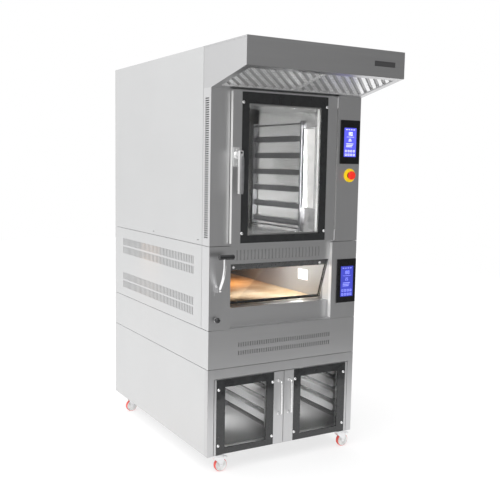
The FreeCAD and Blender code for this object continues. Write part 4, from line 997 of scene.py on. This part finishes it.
def side_details():
    """Small black marks for the tool slots on the sides and a black strip in the pockets of the left column,
    both painted shade; screws, louvres, a cover and a flange at the back and top.
    """
    slots = bmesh.new()
    for x0, x1 in ((-487, -486), (486, 487)):
        for y, z in ((748, 1280), (138, 1285)):
            block(slots, at(x0, y - 8.5, z - 1.7), at(x1, y + 8.5, z + 1.7), 0)
    # Black strip at the bottom of the pockets in the left column: painted shade.
    block(slots, at(-482.8, 22.5, 1304), at(-482.1, 64.5, 2039), 0)
    piece("side_slot_shade", slots, SEAL_AND_SHADE_BLACK)
    screws = bmesh.new()
    for z0, z1 in ((0.13, 0.56), (0.62, 0.775), (0.835, 1.23), (1.29, 2.27)):
        count = max(2, int((z1 - z0) / SCREW_SPACING) + 1)
        places = [(x, z0 + (z1 - z0) * index / (count - 1))
                  for index in range(count) for x in (-0.455, 0.455)]
        places += [(x, z) for x in (-0.15, 0.15) for z in (z0, z1)]
        for x, z in places:
            lathe(screws, (x, BACK_FACE, z), (0, 1, 0), in_mm(SCREW), 16)
    piece("back_screws", screws, CHROME)
    louvres = bmesh.new()
    for z_start, count in ((1.45, 12), (0.90, 8), (0.63, 5)):
        for index in range(count):
            z = z_start + index * LOUVRE_PITCH * MM
            outline = [near((-0.14, BACK_FACE, z), 0, y, rise) for y, rise in LOUVRE]
            plate(louvres, outline, (0.28, 0, 0), 0.0012)
    piece("back_louvres", louvres, SIDE_STEEL)
    cover = made(block, (-0.40, BACK_FACE, 0.95), (-0.22, BACK_FACE + 22 * MM, 1.13), 0.006, segments=3)
    piece("terminal_cover", cover, CASING)
    flange = bmesh.new()
    low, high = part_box("exhaust_spigot")
    x, y, z = (low[0] + high[0]) / 2, (low[1] + high[1]) / 2, low[2]
    lathe(flange, (x, y, z), (0, 0, 1), in_mm(FLANGE), 64, True)
    for turn in (math.pi / 4 * index for index in range(8)):
        lathe(flange, (x + FLANGE_SCREW_RADIUS * math.cos(turn), y + FLANGE_SCREW_RADIUS * math.sin(turn),
                       z + 1.3 * MM), (0, 0, 1), in_mm(SCREW, 0.8), 12)
    piece("exhaust_flange", flange, CHROME)


# ---- camera, light and floor
CAMERA_PLACE = (-2.33103, -4.09668, 1.69789)
CAMERA_TURN = (30.326, 6.415, 1.025)        # degrees of yaw, pitch and roll
CAMERA_LENS = 54.97


def camera():
    yaw, pitch, roll = map(math.radians, CAMERA_TURN)
    ahead = Vector((math.sin(yaw) * math.cos(pitch), math.cos(yaw) * math.cos(pitch), -math.sin(pitch)))
    right = Vector((math.cos(yaw), -math.sin(yaw), 0))
    up = right.cross(ahead)
    right, up = right * math.cos(roll) + up * math.sin(roll), up * math.cos(roll) - right * math.sin(roll)
    data = bpy.data.cameras.new("camera")
    data.sensor_width = 36.0
    data.lens = CAMERA_LENS
    data.clip_end = 60.0
    thing = add_object("camera", data)
    turned = Matrix((right, up, -ahead)).transposed().to_4x4()
    thing.matrix_world = Matrix.Translation(CAMERA_PLACE) @ turned
    bpy.context.scene.camera = thing


def area_light(name, place, target, size, power, colour=WHITE, angle=180):
    """Rectangular light at place, shining towards target within a cone of angle degrees."""
    data = bpy.data.lights.new(name, "AREA")
    data.shape = "RECTANGLE"
    data.size, data.size_y = size
    data.energy = power
    data.color = colour
    data.spread = math.radians(angle)
    thing = add_object(name, data)
    thing.location = place
    thing.rotation_euler = (Vector(target) - Vector(place)).to_track_quat("-Z", "Y").to_euler()


def studio():
    """World, lights and floor. The world dims towards the right and the front, but not for the camera."""
    bpy.context.scene.view_settings.view_transform = "Standard"
    world = bpy.data.worlds.new("studio")
    bpy.context.scene.world = world
    world.use_nodes = True
    tree = world.node_tree
    coords = add_node(tree, "TexCoord")
    toward = add_node(tree, "VectorMath")
    toward.operation = "DOT_PRODUCT"
    toward.inputs[1].default_value = (-0.8, 0.6, 0.0)
    span = add_node(tree, "MapRange", From_Min=-1.0, From_Max=0.35, To_Min=0.21, To_Max=1.0)
    path = add_node(tree, "LightPath")
    brightest = add_node(tree, "Math")
    brightest.operation = "MAXIMUM"
    background = tree.nodes["Background"]
    tree.links.new(coords.outputs["Generated"], toward.inputs[0])
    tree.links.new(toward.outputs["Value"], span.inputs["Value"])
    tree.links.new(span.outputs["Result"], brightest.inputs[0])
    tree.links.new(path.outputs["Is Camera Ray"], brightest.inputs[1])
    tree.links.new(brightest.outputs[0], background.inputs["Strength"])
    set_inputs(background, Color=(*WHITE, 1))

    area_light("left_softbox", (-4.5, 0.2, 3.2), (0, 0.2, 1.0), (3.5, 3.0), 45)
    sky = bpy.data.lights.new("overhead_diffuser", "SUN")
    sky.energy = 1.7
    sky.angle = math.radians(80)
    overhead = add_object("overhead_diffuser", sky)
    overhead.rotation_euler = (math.radians(12), math.radians(-14), 0)
    # The rest stand inside the openings, for the lamps and for light that comes in through the panes.
    area_light("oven_cavity_glow", (0.20, FRONT + 0.12, 1.68), (-0.3, FRONT + 0.5, 1.66), (0.08, 0.5), 10.0)
    area_light("oven_floor_glow", (-0.04, FRONT + 0.12, 1.42), (-0.04, FRONT + 0.45, 1.3), (0.4, 0.1), 4.5)
    area_light("oven_roof_glow", (-0.04, FRONT + 0.30, 2.02), (-0.04, FRONT + 0.40, 1.3), (0.4, 0.3), 2.5)
    area_light("deck_chamber_glow", (-0.20, FRONT + 0.80, 1.165), (-0.22, FRONT + 0.80, 0.92),
               (0.3, 0.9), 2.1, (1.0, 0.47, 0.13), angle=120)
    area_light("deck_side_fill", (-0.30, FRONT + 0.30, 1.13), (0.30, FRONT + 0.42, 1.08), (0.06, 0.3), 3.6,
               angle=75)
    area_light("deck_lamp_glow", (0.29, FRONT + 0.30, 1.05), (-0.1, FRONT + 0.45, 0.92), (0.08, 0.05), 1.0,
               (1.0, 0.96, 0.9))
    area_light("deck_cheek_glow", (0.10, FRONT + 0.32, 1.16), (0.31, FRONT + 0.30, 1.0), (0.06, 0.2), 2.4)
    for x in (-0.34, 0.14):
        area_light("proofer_glow", (x, FRONT + 0.20, 0.525), (x + 0.24, FRONT + 0.55, 0.28), (0.1, 0.2), 10.0,
                   angle=100)

    floor_mesh = bmesh.new()
    bmesh.ops.create_grid(floor_mesh, x_segments=8, y_segments=8, size=7.0)
    bmesh.ops.translate(floor_mesh, vec=(0, 5.3, 0), verts=floor_mesh.verts)
    data = bpy.data.meshes.new("floor")
    floor_mesh.to_mesh(data)
    floor_mesh.free()
    material, tree, shader = new_material("pale_floor", (0.38, 0.38, 0.38), 0.0, 0.9)
    set_inputs(shader, Specular_IOR_Level=0.1, Emission_Color=(*WHITE, 1), Emission_Strength=0.62)
    speckle = noise(tree, 40.0, 2.0)
    tint(tree, shader, speckle, (0.375, 0.375, 0.375), (0.385, 0.385, 0.385))
    data.materials.append(material)
    floor = add_object("floor", data)


camera()
studio()
finish_cad_nodes()
casters()
oven_door()
oven_handle()
proofer_doors()
deck_door()
deck_controls()
deck_lamp_and_oven_lamp()
operator_panels()
hood()
proofer_rails()
rack_details()
grille_shade_backings()
column_trims()
side_details()
